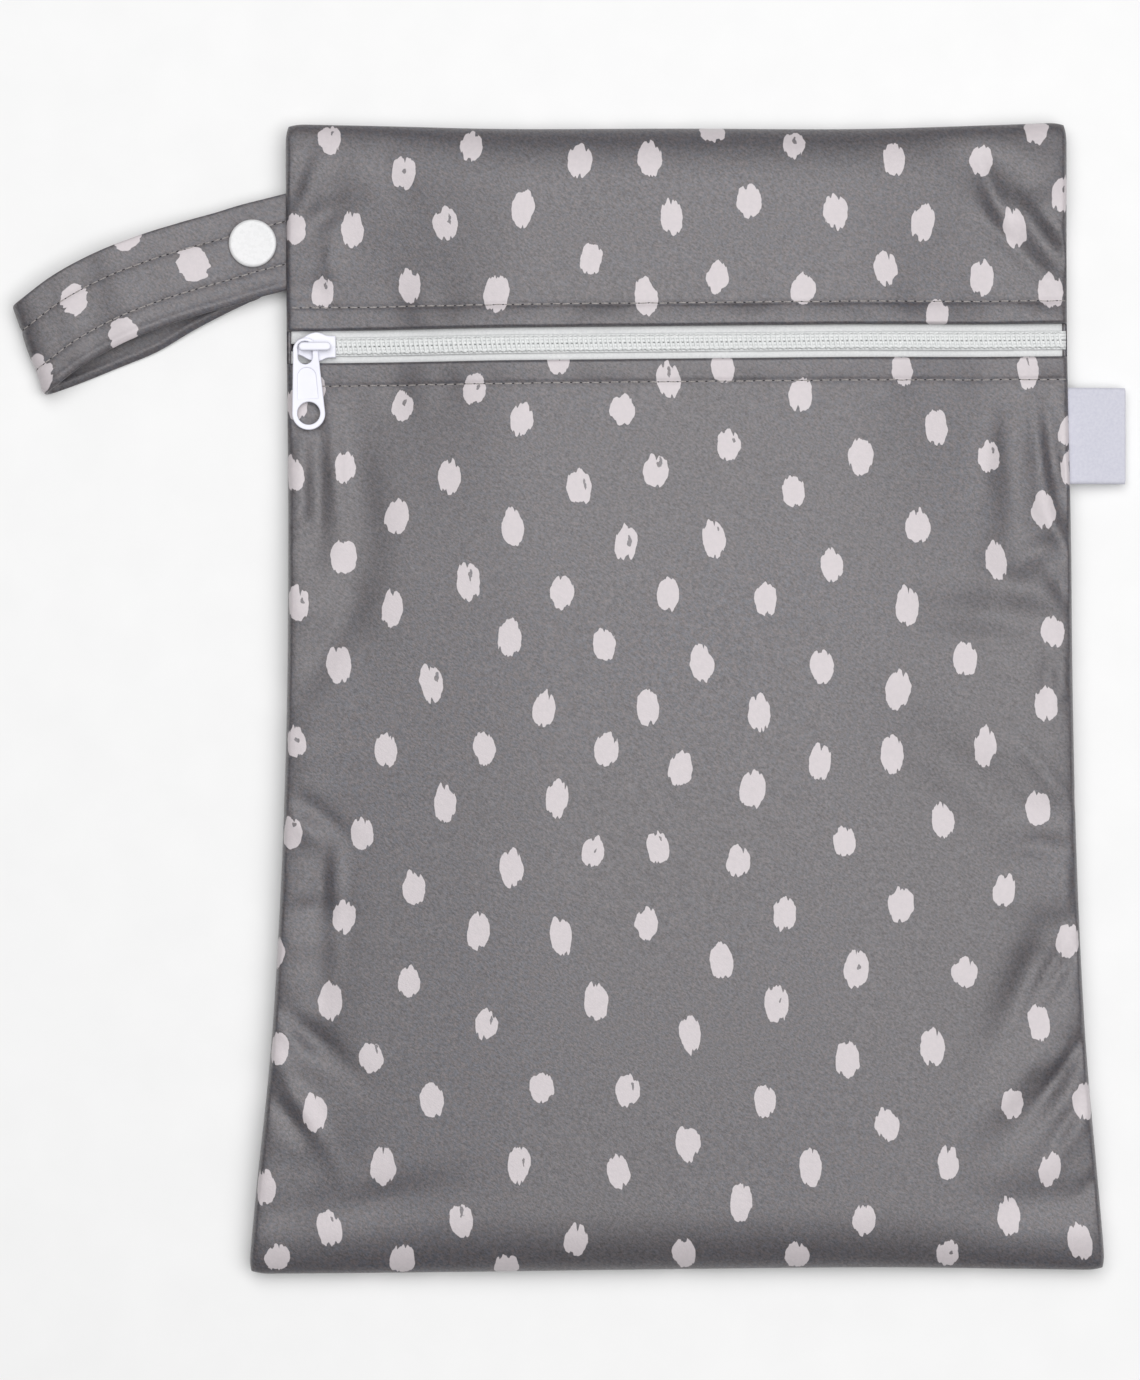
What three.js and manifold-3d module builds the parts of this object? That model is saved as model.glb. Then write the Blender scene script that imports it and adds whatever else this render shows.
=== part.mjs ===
import * as THREE from 'three';
import { mergeVertices } from 'three/addons/utils/BufferGeometryUtils.js';
import Module from 'manifold-3d';

// A zipped cloth wet bag lying on its back, with a snapped wrist strap and a folded side label.
// Millimetres and degrees. X runs across the bag, Y from its base to its top, Z up from the ground.

const wasm = await Module();
wasm.setup();

// Cloth and the play between neighbouring pieces
const cloth = { wall: 1.2, play: 0.3 };

// The bag: seam is the height of its side seams, shoulder and roll the widths of its round edges
const bag = { width: 204, height: 298, seam: 5.8, rise: 7.8, crown: 1.6, shoulder: 16, roll: 10, corner: 4 };

// The zip across the front: up is a share of the bag's height, opening the width between the hems
const zip = { up: 0.81, tilt: 0.55, opening: 8.4, level: 16, ramp: 46, dip: 1.2, band: 20, fade: 32, lift: 0.2 };
const tape = { wall: 0.8, tuck: 6, split: 2, end: 2 };
const coil = { width: 1.85, height: 1.2, end: 0.5 };

// The slider, measured along the zip from its left end
const slider = { length: 9.9, width: 7.6, plate: 0.7, flange: 0.5, fromSeam: 2.9, postWidth: 1.2 };
const crown = { start: 0.4, end: 8.8, width: 2.2, wall: 0.9, footRadius: 0.6, pivot: 1.2 };
const pull = {
  reach: 16.35, wall: 1.2, loopRadius: 3.25, endRadius: 4.3, side: 0.9, back: 1.0, lean: 2.4,
  slotRadius: 1.9, slotLength: 2.2, slotSide: 0.75, slotBack: 0.5, holeRadius: 2.95, recess: 0.25, border: 0.9,
};

// The wrist strap: reach and drop place the middle of its fold, seen from above
const strap = { width: 24.5, wall: 1.2, reach: 66.7, drop: 28, tuck: 8, fromTop: 30, fold: 6.6 };
const snap = { radius: 6.2, bevel: 0.5, capWall: 1.2, backWall: 1.0, coreRadius: 4, fromSeam: 8.7, drop: 0.5 };
const label = { length: 14.8, width: 25, wall: 1.2, tuck: 3.5, up: 0.73, droop: 1.6 };

// Side edges. up: share of the height; left, right: shares of half the width
const sideRows = [
  { up: 0.0, left: 1.099, right: 1.085 },
  { up: 0.06, left: 1.083, right: 1.07 },
  { up: 0.2, left: 1.041, right: 1.034 },
  { up: 0.35, left: 1.015, right: 1.012 },
  { up: 0.5, left: 1.001, right: 1.001 },
  { up: 0.65, left: 0.998, right: 0.996 },
  { up: 0.81, left: 1.002, right: 0.987 },
  { up: 1.0, left: 1.005, right: 0.985 },
];

// Top and base edges. across: share of half the width; top, base: rise as shares of the height
const endRows = [
  { across: -1.0, top: 0.0018, base: -0.0012 },
  { across: -0.75, top: 0.0, base: -0.0005 },
  { across: -0.45, top: -0.0024, base: 0.0008 },
  { across: 0.0, top: -0.0021, base: 0.003 },
  { across: 0.45, top: -0.0025, base: 0.0045 },
  { across: 0.8, top: 0.0008, base: 0.0032 },
  { across: 1.0, top: 0.0034, base: 0.002 },
];

// Soft folds of the front. across, up: centre, as in the tables above; long, wide: shares of the
// width; deep: share of the front's rise, negative for a ridge; turn: degrees from the X axis
const foldRows = [
  { across: -0.9, up: 0.945, long: 0.13, wide: 0.05, deep: 0.16, turn: 84 },
  { across: 0.82, up: 0.935, long: 0.18, wide: 0.05, deep: 0.18, turn: -42 },
  { across: 0.9, up: 0.965, long: 0.14, wide: 0.045, deep: -0.09, turn: -48 },
  { across: 0.93, up: 0.918, long: 0.08, wide: 0.05, deep: 0.14, turn: 88 },
  { across: -0.9, up: 0.678, long: 0.2, wide: 0.055, deep: 0.2, turn: 79 },
  { across: -0.84, up: 0.6, long: 0.17, wide: 0.06, deep: 0.12, turn: 97 },
  { across: 0.88, up: 0.67, long: 0.24, wide: 0.055, deep: 0.2, turn: 71 },
  { across: 0.95, up: 0.655, long: 0.14, wide: 0.045, deep: -0.1, turn: 108 },
  { across: 0.9, up: 0.27, long: 0.17, wide: 0.05, deep: 0.17, turn: 58 },
  { across: 0.88, up: 0.155, long: 0.16, wide: 0.045, deep: 0.18, turn: 47 },
  { across: 0.83, up: 0.172, long: 0.16, wide: 0.04, deep: -0.1, turn: 47 },
  { across: -0.88, up: 0.273, long: 0.3, wide: 0.06, deep: 0.13, turn: 88 },
  { across: -0.88, up: 0.085, long: 0.14, wide: 0.05, deep: 0.15, turn: 47 },
];

// Slider outline. along: share of its length; half: share of half its width
const sliderRows = [
  { along: 0.0, half: 0.5 },
  { along: 0.12, half: 0.62 },
  { along: 0.3, half: 0.88 },
  { along: 0.47, half: 1.0 },
  { along: 0.62, half: 0.94 },
  { along: 0.76, half: 0.78 },
  { along: 1.0, half: 0.74 },
];

// Strap route from the seam. out, down: shares of its reach and drop; its height is the sum of
// shares of the upper layer's, the snap seat's and the fold's; turn: slant of its width in degrees
const strapRows = [
  { out: 0.0, down: 0.0, upper: 1.0, seat: 0.0, fold: 0.0, turn: 12 },
  { out: 0.05, down: 0.03, upper: 1.0, seat: 0.0, fold: 0.0, turn: 12 },
  { out: 0.14, down: 0.085, upper: 1.0, seat: 0.0, fold: 0.0, turn: 13 },
  { out: 0.235, down: 0.155, upper: 1.0, seat: 0.0, fold: 0.0, turn: 14 },
  { out: 0.37, down: 0.25, upper: 0.55, seat: 0.0, fold: 0.5, turn: 16 },
  { out: 0.54, down: 0.385, upper: 0.0, seat: 0.0, fold: 1.06, turn: 18 },
  { out: 0.72, down: 0.565, upper: 0.0, seat: 0.0, fold: 1.1, turn: 20 },
  { out: 0.86, down: 0.755, upper: 0.0, seat: 0.0, fold: 1.06, turn: 20 },
  { out: 0.955, down: 0.925, upper: 0.0, seat: 0.0, fold: 1.0, turn: 20 },
  { out: 0.987, down: 0.98, upper: 0.0, seat: 0.0, fold: 0.85, turn: 20 },
  { out: 1.0, down: 1.0, upper: 0.0, seat: 0.0, fold: 0.5, turn: 20 },
  { out: 0.987, down: 0.992, upper: 0.0, seat: 0.0, fold: 0.15, turn: 20 },
  { out: 0.95, down: 0.96, upper: 0.0, seat: 0.0, fold: 0.0, turn: 20 },
  { out: 0.87, down: 0.89, upper: 0.0, seat: 0.0, fold: 0.0, turn: 20 },
  { out: 0.73, down: 0.755, upper: 0.0, seat: 0.0, fold: 0.0, turn: 21 },
  { out: 0.58, down: 0.607, upper: 0.0, seat: 0.1, fold: 0.0, turn: 23 },
  { out: 0.42, down: 0.38, upper: 0.0, seat: 0.6, fold: 0.0, turn: 25 },
  { out: 0.29, down: 0.205, upper: 0.0, seat: 1.0, fold: 0.0, turn: 26 },
  { out: 0.196, down: 0.077, upper: 0.0, seat: 1.0, fold: 0.0, turn: 26 },
];

// Label from the seam. out, down: shares of its length and droop; full: share of its wall
const labelRows = [
  { out: 0.0, down: 0.0, full: 1.0 },
  { out: 0.12, down: 0.02, full: 1.0 },
  { out: 0.4, down: 0.25, full: 1.0 },
  { out: 0.7, down: 0.68, full: 1.0 },
  { out: 0.95, down: 1.0, full: 1.0 },
  { out: 1.0, down: 1.02, full: 0.5 },
];

const halfWidth = bag.width / 2;
const rimTop = bag.seam + cloth.play / 2;
const rimBase = bag.seam - cloth.play / 2;
const radians = THREE.MathUtils.degToRad;
const up = new THREE.Vector3(0, 0, 1);

// Small mathematics

function smooth(value) {
  return THREE.MathUtils.smoothstep(value, 0, 1);
}

// Value of a table's column at a place, on a smooth curve through its rows
function read(rows, key, column, place) {
  const last = rows.length - 1;
  const slope = (i) => {
    const a = rows[Math.max(i - 1, 0)];
    const b = rows[Math.min(i + 1, last)];
    return (b[column] - a[column]) / (b[key] - a[key]);
  };
  const i = THREE.MathUtils.clamp(rows.findLastIndex((row) => row[key] <= place), 0, last - 1);
  const span = rows[i + 1][key] - rows[i][key];
  const t = THREE.MathUtils.clamp((place - rows[i][key]) / span, 0, 1);
  const a = rows[i][column];
  const b = rows[i + 1][column];
  const bend = t * (1 - t) * span;
  return a + (b - a) * smooth(t) + bend * ((1 - t) * slope(i) - t * slope(i + 1));
}

// Quarter round: 0 at an edge, 1 at the given width from it
function swell(distance, width) {
  const rest = 1 - THREE.MathUtils.clamp(distance / width, 0, 1);
  return Math.sqrt(1 - rest * rest);
}

// Places from 0 to 1 across a round edge, closer together where it is steep
function roundPlaces(cells) {
  return Array.from({ length: cells + 1 }, (_, i) => 1 - Math.cos((Math.PI / 2) * (i / cells)));
}

function spread(from, to, cells) {
  return Array.from({ length: cells + 1 }, (_, i) => from + (to - from) * (i / cells));
}

function joined(...lists) {
  return lists.flatMap((list, i) => (i ? list.slice(1) : list));
}

// Closed solids: a solid is a list of points and a list of triangles

function facingOut(solid) {
  const volume = solid.faces.reduce((sum, [a, b, c]) => {
    const [p, q, r] = [solid.points[a], solid.points[b], solid.points[c]];
    return sum + p.dot(q.clone().cross(r));
  }, 0);
  return volume > 0 ? solid : { points: solid.points, faces: solid.faces.map(([a, b, c]) => [a, c, b]) };
}

// A walled sheet between an outer and an inner grid of points, with its rim closed
function sheetSolid(outer, inner) {
  const columns = outer.length;
  const rows = outer[0].length;
  const points = [...outer.flat(), ...inner.flat()];
  const at = (layer, i, j) => layer * columns * rows + i * rows + j;
  const faces = [];
  const quad = (a, b, c, d) => faces.push([a, b, c], [a, c, d]);
  for (let i = 0; i < columns - 1; i += 1) {
    for (let j = 0; j < rows - 1; j += 1) {
      quad(at(0, i, j), at(0, i + 1, j), at(0, i + 1, j + 1), at(0, i, j + 1));
      quad(at(1, i, j), at(1, i, j + 1), at(1, i + 1, j + 1), at(1, i + 1, j));
    }
    quad(at(1, i, 0), at(1, i + 1, 0), at(0, i + 1, 0), at(0, i, 0));
    quad(at(0, i, rows - 1), at(0, i + 1, rows - 1), at(1, i + 1, rows - 1), at(1, i, rows - 1));
  }
  for (let j = 0; j < rows - 1; j += 1) {
    quad(at(0, 0, j), at(0, 0, j + 1), at(1, 0, j + 1), at(1, 0, j));
    quad(at(1, columns - 1, j), at(1, columns - 1, j + 1), at(0, columns - 1, j + 1), at(0, columns - 1, j));
  }
  return facingOut({ points, faces });
}

// A solid through a row of rings with as many points each
function ringSolid(rings) {
  const count = rings[0].length;
  const points = rings.flat();
  const faces = [];
  for (let i = 0; i < rings.length - 1; i += 1) {
    for (let j = 0; j < count; j += 1) {
      const k = (j + 1) % count;
      const [a, b] = [i * count, (i + 1) * count];
      faces.push([a + j, b + j, b + k], [a + j, b + k, a + k]);
    }
  }
  const end = (rings.length - 1) * count;
  for (let j = 1; j < count - 1; j += 1) {
    faces.push([0, j, j + 1], [end, end + j + 1, end + j]);
  }
  return facingOut({ points, faces });
}

function geometrySolid(geometry) {
  const bare = new THREE.BufferGeometry();
  bare.setAttribute('position', geometry.getAttribute('position'));
  if (geometry.index) bare.setIndex(geometry.index);
  const merged = mergeVertices(bare, 1e-4);
  const place = merged.getAttribute('position');
  const corners = [...merged.index.array];
  const points = Array.from({ length: place.count }, (_, i) => new THREE.Vector3().fromBufferAttribute(place, i));
  const faces = Array.from({ length: corners.length / 3 }, (_, i) => corners.slice(3 * i, 3 * i + 3));
  return { points, faces: faces.filter(([a, b, c]) => a !== b && b !== c && c !== a) };
}

// A plan outline with holes, from one height to another
function plateSolid(outline, holes, low, high) {
  const shape = new THREE.Shape(outline);
  shape.holes = holes.map((hole) => new THREE.Path(hole));
  const geometry = new THREE.ExtrudeGeometry(shape, { depth: high - low, bevelEnabled: false });
  return geometrySolid(geometry.translate(0, 0, low));
}

// A round plate about a vertical axis, with its upper edge bevelled
function discSolid(x, y, radius, low, high, bevel) {
  const profile = [[0, low], [radius, low], [radius, high - bevel], [radius - bevel, high], [0, high]];
  const points = profile.map(([out, height]) => new THREE.Vector2(out, height));
  const geometry = new THREE.LatheGeometry(points, 24).rotateX(Math.PI / 2).translate(x, y, 0);
  return facingOut(geometrySolid(geometry));
}

function manifold({ points, faces }) {
  const vertProperties = new Float32Array(points.flatMap((point) => point.toArray()));
  const triVerts = new Uint32Array(faces.flat());
  return new wasm.Manifold(new wasm.Mesh({ numProp: 3, vertProperties, triVerts }));
}

function solidOf(body) {
  const { vertProperties, triVerts, numProp } = body.getMesh();
  const point = (i) => new THREE.Vector3().fromArray(vertProperties, i * numProp);
  const points = Array.from({ length: vertProperties.length / numProp }, (_, i) => point(i));
  const faces = Array.from({ length: triVerts.length / 3 }, (_, i) => [...triVerts.slice(3 * i, 3 * i + 3)]);
  return { points, faces };
}

function fused(...solids) {
  return solidOf(solids.map(manifold).reduce((whole, next) => whole.add(next)));
}

function cut(solid, ...cutters) {
  return solidOf(cutters.map(manifold).reduce((whole, next) => whole.subtract(next), manifold(solid)));
}

function moved(solid, place, turn = 0) {
  const points = solid.points.map((point) => point.clone().applyAxisAngle(up, turn).add(place));
  return { points, faces: solid.faces };
}

// Plan of the bag

function edgeX(across, y, inset = 0) {
  const column = across < 0 ? 'left' : 'right';
  return across * (halfWidth * read(sideRows, 'up', column, y / bag.height + 0.5) - inset);
}

function endY(column, across, inset = 0) {
  const seamY = bag.height * (read(endRows, 'across', column, across) + (column === 'top' ? 0.5 : -0.5));
  return column === 'top' ? seamY - inset : seamY + inset;
}

function zipY(x) {
  return bag.height * (zip.up - 0.5) + Math.tan(radians(zip.tilt)) * x;
}

function hemY(across, side) {
  return zipY(across * halfWidth) + (side * zip.opening) / 2;
}

// Rounds the corners in plan. sideGap, endGap: distances from the side and the end edge
function roundCorner(point, across, middleY, sideGap, endGap) {
  const near = (gap) => (1 - THREE.MathUtils.clamp(gap / (2 * bag.corner), 0, 1)) ** 2;
  const shift = bag.corner * (1 - Math.SQRT1_2) * near(sideGap) * near(endGap);
  point.x -= Math.sign(across) * shift;
  point.y -= Math.sign(point.y - middleY) * shift;
  return point;
}

// Heights of the front

// Front above its seams along the zip: low and level beside the side seams
function zipRise(across) {
  const flat = cloth.wall + zip.lift;
  const inward = halfWidth * (1 - Math.abs(across));
  return flat + (bag.rise - zip.dip - flat) * smooth((inward - zip.level) / zip.ramp);
}

function zipNearness(across, y) {
  return 1 - smooth((Math.abs(y - zipY(across * halfWidth)) - zip.band) / zip.fade);
}

function frontRise(across, y) {
  const open = bag.rise + bag.crown * (1 - across ** 2) * (1 - (2 * y / bag.height) ** 2);
  return THREE.MathUtils.lerp(open, zipRise(across), zipNearness(across, y));
}

function foldDepth(across, y) {
  const depth = foldRows.reduce((sum, fold) => {
    const turn = radians(fold.turn);
    const x = (across - fold.across) * halfWidth;
    const climb = y - (fold.up - 0.5) * bag.height;
    const along = (x * Math.cos(turn) + climb * Math.sin(turn)) / (fold.long * bag.width);
    const beside = (climb * Math.cos(turn) - x * Math.sin(turn)) / (fold.wide * bag.width);
    return sum + fold.deep * bag.rise * Math.exp(-4 * along ** 2 - 4 * beside ** 2);
  }, 0);
  return depth * (1 - zipNearness(across, y));
}

function frontPoint(across, y, inset, endGap) {
  const x = edgeX(across, y, inset);
  const sideGap = halfWidth * (1 - Math.abs(across));
  const round = swell(sideGap, bag.shoulder) * swell(endGap, bag.shoulder);
  const height = rimTop + (frontRise(across, y) - inset - foldDepth(across, y)) * round;
  return roundCorner(new THREE.Vector3(x, y, height), across, 0, sideGap, endGap);
}

// The panels

const acrossEdge = roundPlaces(5).map((place) => -1 + (place * bag.shoulder) / halfWidth);
const acrossSide = spread(acrossEdge.at(-1), -0.56, 5);
const acrossHalf = joined(acrossEdge, acrossSide, spread(-0.56, 0, 5));
const acrossPlaces = joined(acrossHalf, acrossHalf.map((place) => -place).reverse());

function upperPanel() {
  const depth = bag.height * (1 - zip.up) - zip.opening / 2;
  const edge = roundPlaces(5).map((place) => 1 - (place * bag.shoulder) / depth).reverse();
  const places = joined(spread(0, edge[0], 7), edge);
  const grid = (inset) => acrossPlaces.map((across) => places.map((place) => {
    const low = hemY(across, 1);
    const y = THREE.MathUtils.lerp(low, endY('top', across, inset), place);
    return frontPoint(across, y, inset, (1 - place) * depth);
  }));
  return sheetSolid(grid(0), grid(cloth.wall));
}

function lowerPanel() {
  const depth = bag.height * zip.up - zip.opening / 2;
  const edge = roundPlaces(5).map((place) => (place * bag.shoulder) / depth);
  const places = joined(edge, spread(edge.at(-1), 0.26, 5), spread(0.26, 0.62, 6), spread(0.62, 1, 11));
  const grid = (inset) => acrossPlaces.map((across) => places.map((place) => {
    const high = hemY(across, -1);
    const y = THREE.MathUtils.lerp(endY('base', across, inset), high, place);
    return frontPoint(across, y, inset, place * depth);
  }));
  return sheetSolid(grid(0), grid(cloth.wall));
}

// Back panel: flat on the ground, rolled up to the side seams
function backPoint(across, place, inset) {
  const y = THREE.MathUtils.lerp(endY('base', across, inset), endY('top', across, inset), place);
  const sideGap = halfWidth * (1 - Math.abs(across));
  const endGap = bag.height * Math.min(place, 1 - place);
  const round = swell(sideGap, bag.roll) * swell(endGap, bag.roll);
  const point = new THREE.Vector3(edgeX(across, y, inset), y, rimBase - (rimBase - inset) * round);
  return roundCorner(point, across, 0, sideGap, endGap);
}

function backPanel(...slots) {
  const edgeAcross = roundPlaces(5).map((place) => -1 + (place * bag.roll) / halfWidth);
  const leftPlaces = joined(edgeAcross, spread(edgeAcross.at(-1), 0, 4));
  const across = joined(leftPlaces, leftPlaces.map((place) => -place).reverse());
  const edgeUp = roundPlaces(5).map((place) => (place * bag.roll) / bag.height);
  const lowPlaces = joined(edgeUp, spread(edgeUp.at(-1), 0.5, 6));
  const places = joined(lowPlaces, lowPlaces.map((place) => 1 - place).reverse());
  const grid = (inset) => across.map((share) => places.map((place) => backPoint(share, place, inset)));
  return cut(sheetSolid(grid(0), grid(cloth.wall)), ...slots);
}

// The zip

const tapeTop = rimBase;
const sliderLeft = edgeX(-1, zipY(-halfWidth)) + slider.fromSeam;
const sliderAcross = (along) => (sliderLeft + along * slider.length) / halfWidth;
const levelEnd = -1 + zip.level / halfWidth;

// Places along the zip; its tapes stand apart left of the slider's middle
const openPlaces = [-1, sliderAcross(0.25), sliderAcross(0.5), levelEnd];
const zipPlaces = [...openPlaces, ...acrossPlaces.filter((place) => place > levelEnd + 0.01)];

function zipSplit(across) {
  const share = (across - sliderAcross(0.25)) / (sliderAcross(0.5) - sliderAcross(0.25));
  return THREE.MathUtils.lerp(tape.split, cloth.play, THREE.MathUtils.clamp(share, 0, 1)) / 2;
}

// A bar along the zip. section: pairs of distance from its middle line and height above the tape
function zipBar(side, end, section) {
  const middle = zip.up * bag.height - bag.height / 2;
  return ringSolid(zipPlaces.map((across) => {
    const x = edgeX(across, middle, end);
    const height = tapeTop + zipRise(across) - zipRise(-1);
    const split = zipSplit(across);
    return section.map(([beside, lift]) => {
      const offset = typeof beside === 'function' ? beside(split) : beside;
      return new THREE.Vector3(x, zipY(x) + side * offset, height + lift);
    });
  }));
}

function zipTape(side) {
  const outer = zip.opening / 2 + tape.tuck;
  const inner = (split) => split;
  return zipBar(side, tape.end, [[inner, -tape.wall], [outer, -tape.wall], [outer, 0], [inner, 0]]);
}

function zipCoil(side) {
  const from = (distance) => (split) => split + distance;
  const low = cloth.play;
  const high = cloth.play + coil.height;
  const middle = cloth.play + coil.height / 2;
  return zipBar(side, coil.end, [
    [from(0), low],
    [from(coil.width), low],
    [from(coil.width), middle],
    [from(coil.width * 0.75), high],
    [from(coil.width * 0.3), high],
    [from(0), middle],
  ]);
}

// Slider heights above the tape
const plateLow = cloth.play + coil.height + cloth.play;
const plateHigh = plateLow + slider.plate;
const pullLow = plateHigh + cloth.play;
const pullHigh = pullLow + pull.wall;
const crownLow = pullHigh + cloth.play;
const crownHigh = crownLow + crown.wall;

function sliderOutline(from, to) {
  const places = spread(from, to, 9);
  const side = (sign) => places.map((along) => {
    const half = (slider.width / 2) * read(sliderRows, 'along', 'half', along);
    return new THREE.Vector2(along * slider.length, sign * half);
  });
  return [...side(-1), ...side(1).reverse()];
}

// Outline between an outer edge of the slider and its channel for the coils
function flangeOutline(sign) {
  const channel = cloth.play / 2 + coil.width + cloth.play;
  const outer = spread(0.5, 1, 6).map((along) => {
    const half = (slider.width / 2) * read(sliderRows, 'along', 'half', along);
    return new THREE.Vector2(along * slider.length, sign * Math.max(half, channel + slider.flange));
  });
  const inner = [slider.length, slider.length / 2].map((x) => new THREE.Vector2(x, sign * channel));
  return [...outer, ...inner];
}

function arcPoints(x, y, radius, from, to, cells) {
  return spread(radians(from), radians(to), cells).map((angle) => (
    new THREE.Vector2(x + radius * Math.cos(angle), y + radius * Math.sin(angle))
  ));
}

// A bar with round ends from one place along X to another
function roundBar(from, to, width, low, high) {
  const radius = width / 2;
  const outline = [
    ...arcPoints(to - radius, 0, radius, -90, 90, 8),
    ...arcPoints(from + radius, 0, radius, 90, 270, 8),
  ];
  return plateSolid(outline, [], low, high);
}

function zipSlider() {
  const sink = 0.05;
  const bottomHigh = -tape.wall - cloth.play;
  const bottomLow = bottomHigh - slider.plate;
  const post = slider.postWidth;
  const bodies = [
    plateSolid(sliderOutline(0, 1), [], plateLow, plateHigh),
    plateSolid(sliderOutline(0.08, 1), [], bottomLow, bottomHigh),
    roundBar(1.1 * post, 2.6 * post, post, bottomLow + sink, plateHigh - sink),
    plateSolid(flangeOutline(-1), [], cloth.play, plateHigh - sink),
    plateSolid(flangeOutline(1), [], cloth.play, plateHigh - sink),
    ...[crown.pivot, crown.start + crown.end - crown.pivot].map((x) => (
      discSolid(x, 0, crown.footRadius, plateHigh - sink, crownLow + sink, 0)
    )),
    roundBar(crown.start, crown.end, crown.width, crownLow, crownHigh),
  ];
  return fused(...bodies);
}

// Outline round two circles, the first at the origin and the second below it
function taperOutline(radius, endRadius, reach) {
  const tilt = THREE.MathUtils.radToDeg(Math.asin((endRadius - radius) / reach));
  return [
    ...arcPoints(0, 0, radius, -tilt, 180 + tilt, 14),
    ...arcPoints(0, -reach, endRadius, 180 + tilt, 360 - tilt, 14),
  ];
}

// Zip pull, hanging from its pivot at the origin
function zipPull() {
  const loop = new THREE.Vector2(pull.side, -pull.back);
  const shifted = (points) => points.map((point) => point.clone().add(loop));
  const slot = [
    ...arcPoints(pull.slotSide, -pull.slotBack, pull.slotRadius, 0, 180, 10),
    ...arcPoints(pull.slotSide, -pull.slotBack - pull.slotLength, pull.slotRadius, 180, 360, 10),
  ];
  const hole = shifted(arcPoints(0, -pull.reach, pull.holeRadius, 0, 345, 23));
  const outline = shifted(taperOutline(pull.loopRadius, pull.endRadius, pull.reach));
  const plate = plateSolid(outline, [slot, hole], pullLow, pullHigh);
  const faceTop = -pull.slotBack - pull.slotLength - pull.slotRadius - pull.border;
  const faceLow = -pull.back - pull.reach + pull.holeRadius + pull.border;
  const halfFace = pull.loopRadius - pull.border;
  const face = [
    ...arcPoints(pull.side, faceTop - halfFace, halfFace, 0, 180, 10),
    ...[-1, 1].map((sign) => new THREE.Vector2(pull.side + sign * (halfFace + 0.3), faceLow)),
  ];
  const pocket = plateSolid(face, [], pullHigh - pull.recess, pullHigh + 1);
  return moved(cut(plate, pocket), new THREE.Vector3(crown.pivot, 0, 0), radians(pull.lean));
}

// The strap and its snap

const strapY = bag.height / 2 - strap.fromTop;
const seamLeft = edgeX(-1, strapY);
const groundLayer = strap.wall / 2;
const upperLayer = rimBase - strap.wall / 2;
const seatLayer = snap.backWall + cloth.play + strap.wall / 2;

function strapPoint(row) {
  const height = groundLayer + row.upper * (upperLayer - groundLayer)
    + row.seat * (seatLayer - groundLayer) + row.fold * strap.fold;
  return new THREE.Vector3(seamLeft - row.out * strap.reach, strapY - row.down * strap.drop, height);
}

// Cross section of the strap, thinner at its edges
function strapSection(centre, across, normal, half, grow) {
  const thick = strap.wall / 2 + grow;
  const edge = strap.wall / 4 + grow;
  const corners = [[-1, -edge], [-0.93, -thick], [0.93, -thick], [1, -edge]];
  const section = [...corners, ...corners.map(([beside, height]) => [-beside, -height])];
  return section.map(([beside, height]) => (
    centre.clone().addScaledVector(across, beside * (half + grow)).addScaledVector(normal, height)
  ));
}

// Rings along the first rows of the strap's route, from its tucked end
function strapRings(rows, cells, grow) {
  const [seam, next] = strapRows;
  const back = (strap.tuck + grow) / strap.reach;
  const slope = (next.down - seam.down) / (next.out - seam.out);
  const tucked = { ...seam, out: -back, down: -back * slope };
  const stops = [tucked, ...strapRows.slice(0, rows)];
  const route = new THREE.CatmullRomCurve3(stops.map(strapPoint), false, 'centripetal');
  return spread(0, 1, cells).map((share) => {
    const place = share * (stops.length - 1);
    const low = Math.min(Math.floor(place), stops.length - 2);
    const turn = radians(THREE.MathUtils.lerp(stops[low].turn, stops[low + 1].turn, place - low));
    const across = new THREE.Vector3(Math.sin(turn), -Math.cos(turn), 0);
    const tangent = route.getTangent(share);
    const normal = across.clone().cross(tangent).normalize();
    const centre = route.getPoint(share);
    centre.z = Math.max(centre.z, groundLayer);
    return { centre, across, tangent, normal, half: strap.width / 2 };
  });
}

function wristStrap() {
  const rings = strapRings(strapRows.length, 42, 0);
  const last = rings.at(-1);
  const forward = last.across.clone().cross(last.normal).negate().normalize();
  if (forward.dot(last.tangent) < 0) forward.negate();
  const roundEnd = [20, 40, 57, 72, 84].map((angle) => ({
    ...last,
    centre: last.centre.clone().addScaledVector(forward, last.half * Math.sin(radians(angle))),
    half: last.half * Math.cos(radians(angle)),
  }));
  const section = (ring) => strapSection(ring.centre, ring.across, ring.normal, ring.half, 0);
  return ringSolid([...rings, ...roundEnd].map(section));
}

function strapSlot() {
  const rings = strapRings(2, 4, cloth.play);
  return ringSolid(rings.map((ring) => strapSection(ring.centre, ring.across, ring.normal, ring.half, cloth.play)));
}

function snapDisc(radius, low, high, bevel) {
  return discSolid(seamLeft - snap.fromSeam, strapY - snap.drop, radius, low, high, bevel);
}

function snapCap() {
  const low = upperLayer + strap.wall / 2 + cloth.play;
  return snapDisc(snap.radius, low, low + snap.capWall, snap.bevel);
}

function snapCore() {
  const low = seatLayer + strap.wall / 2 + cloth.play;
  const high = upperLayer - strap.wall / 2 - cloth.play;
  return snapDisc(snap.coreRadius, low, high, 0);
}

// The label

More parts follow.
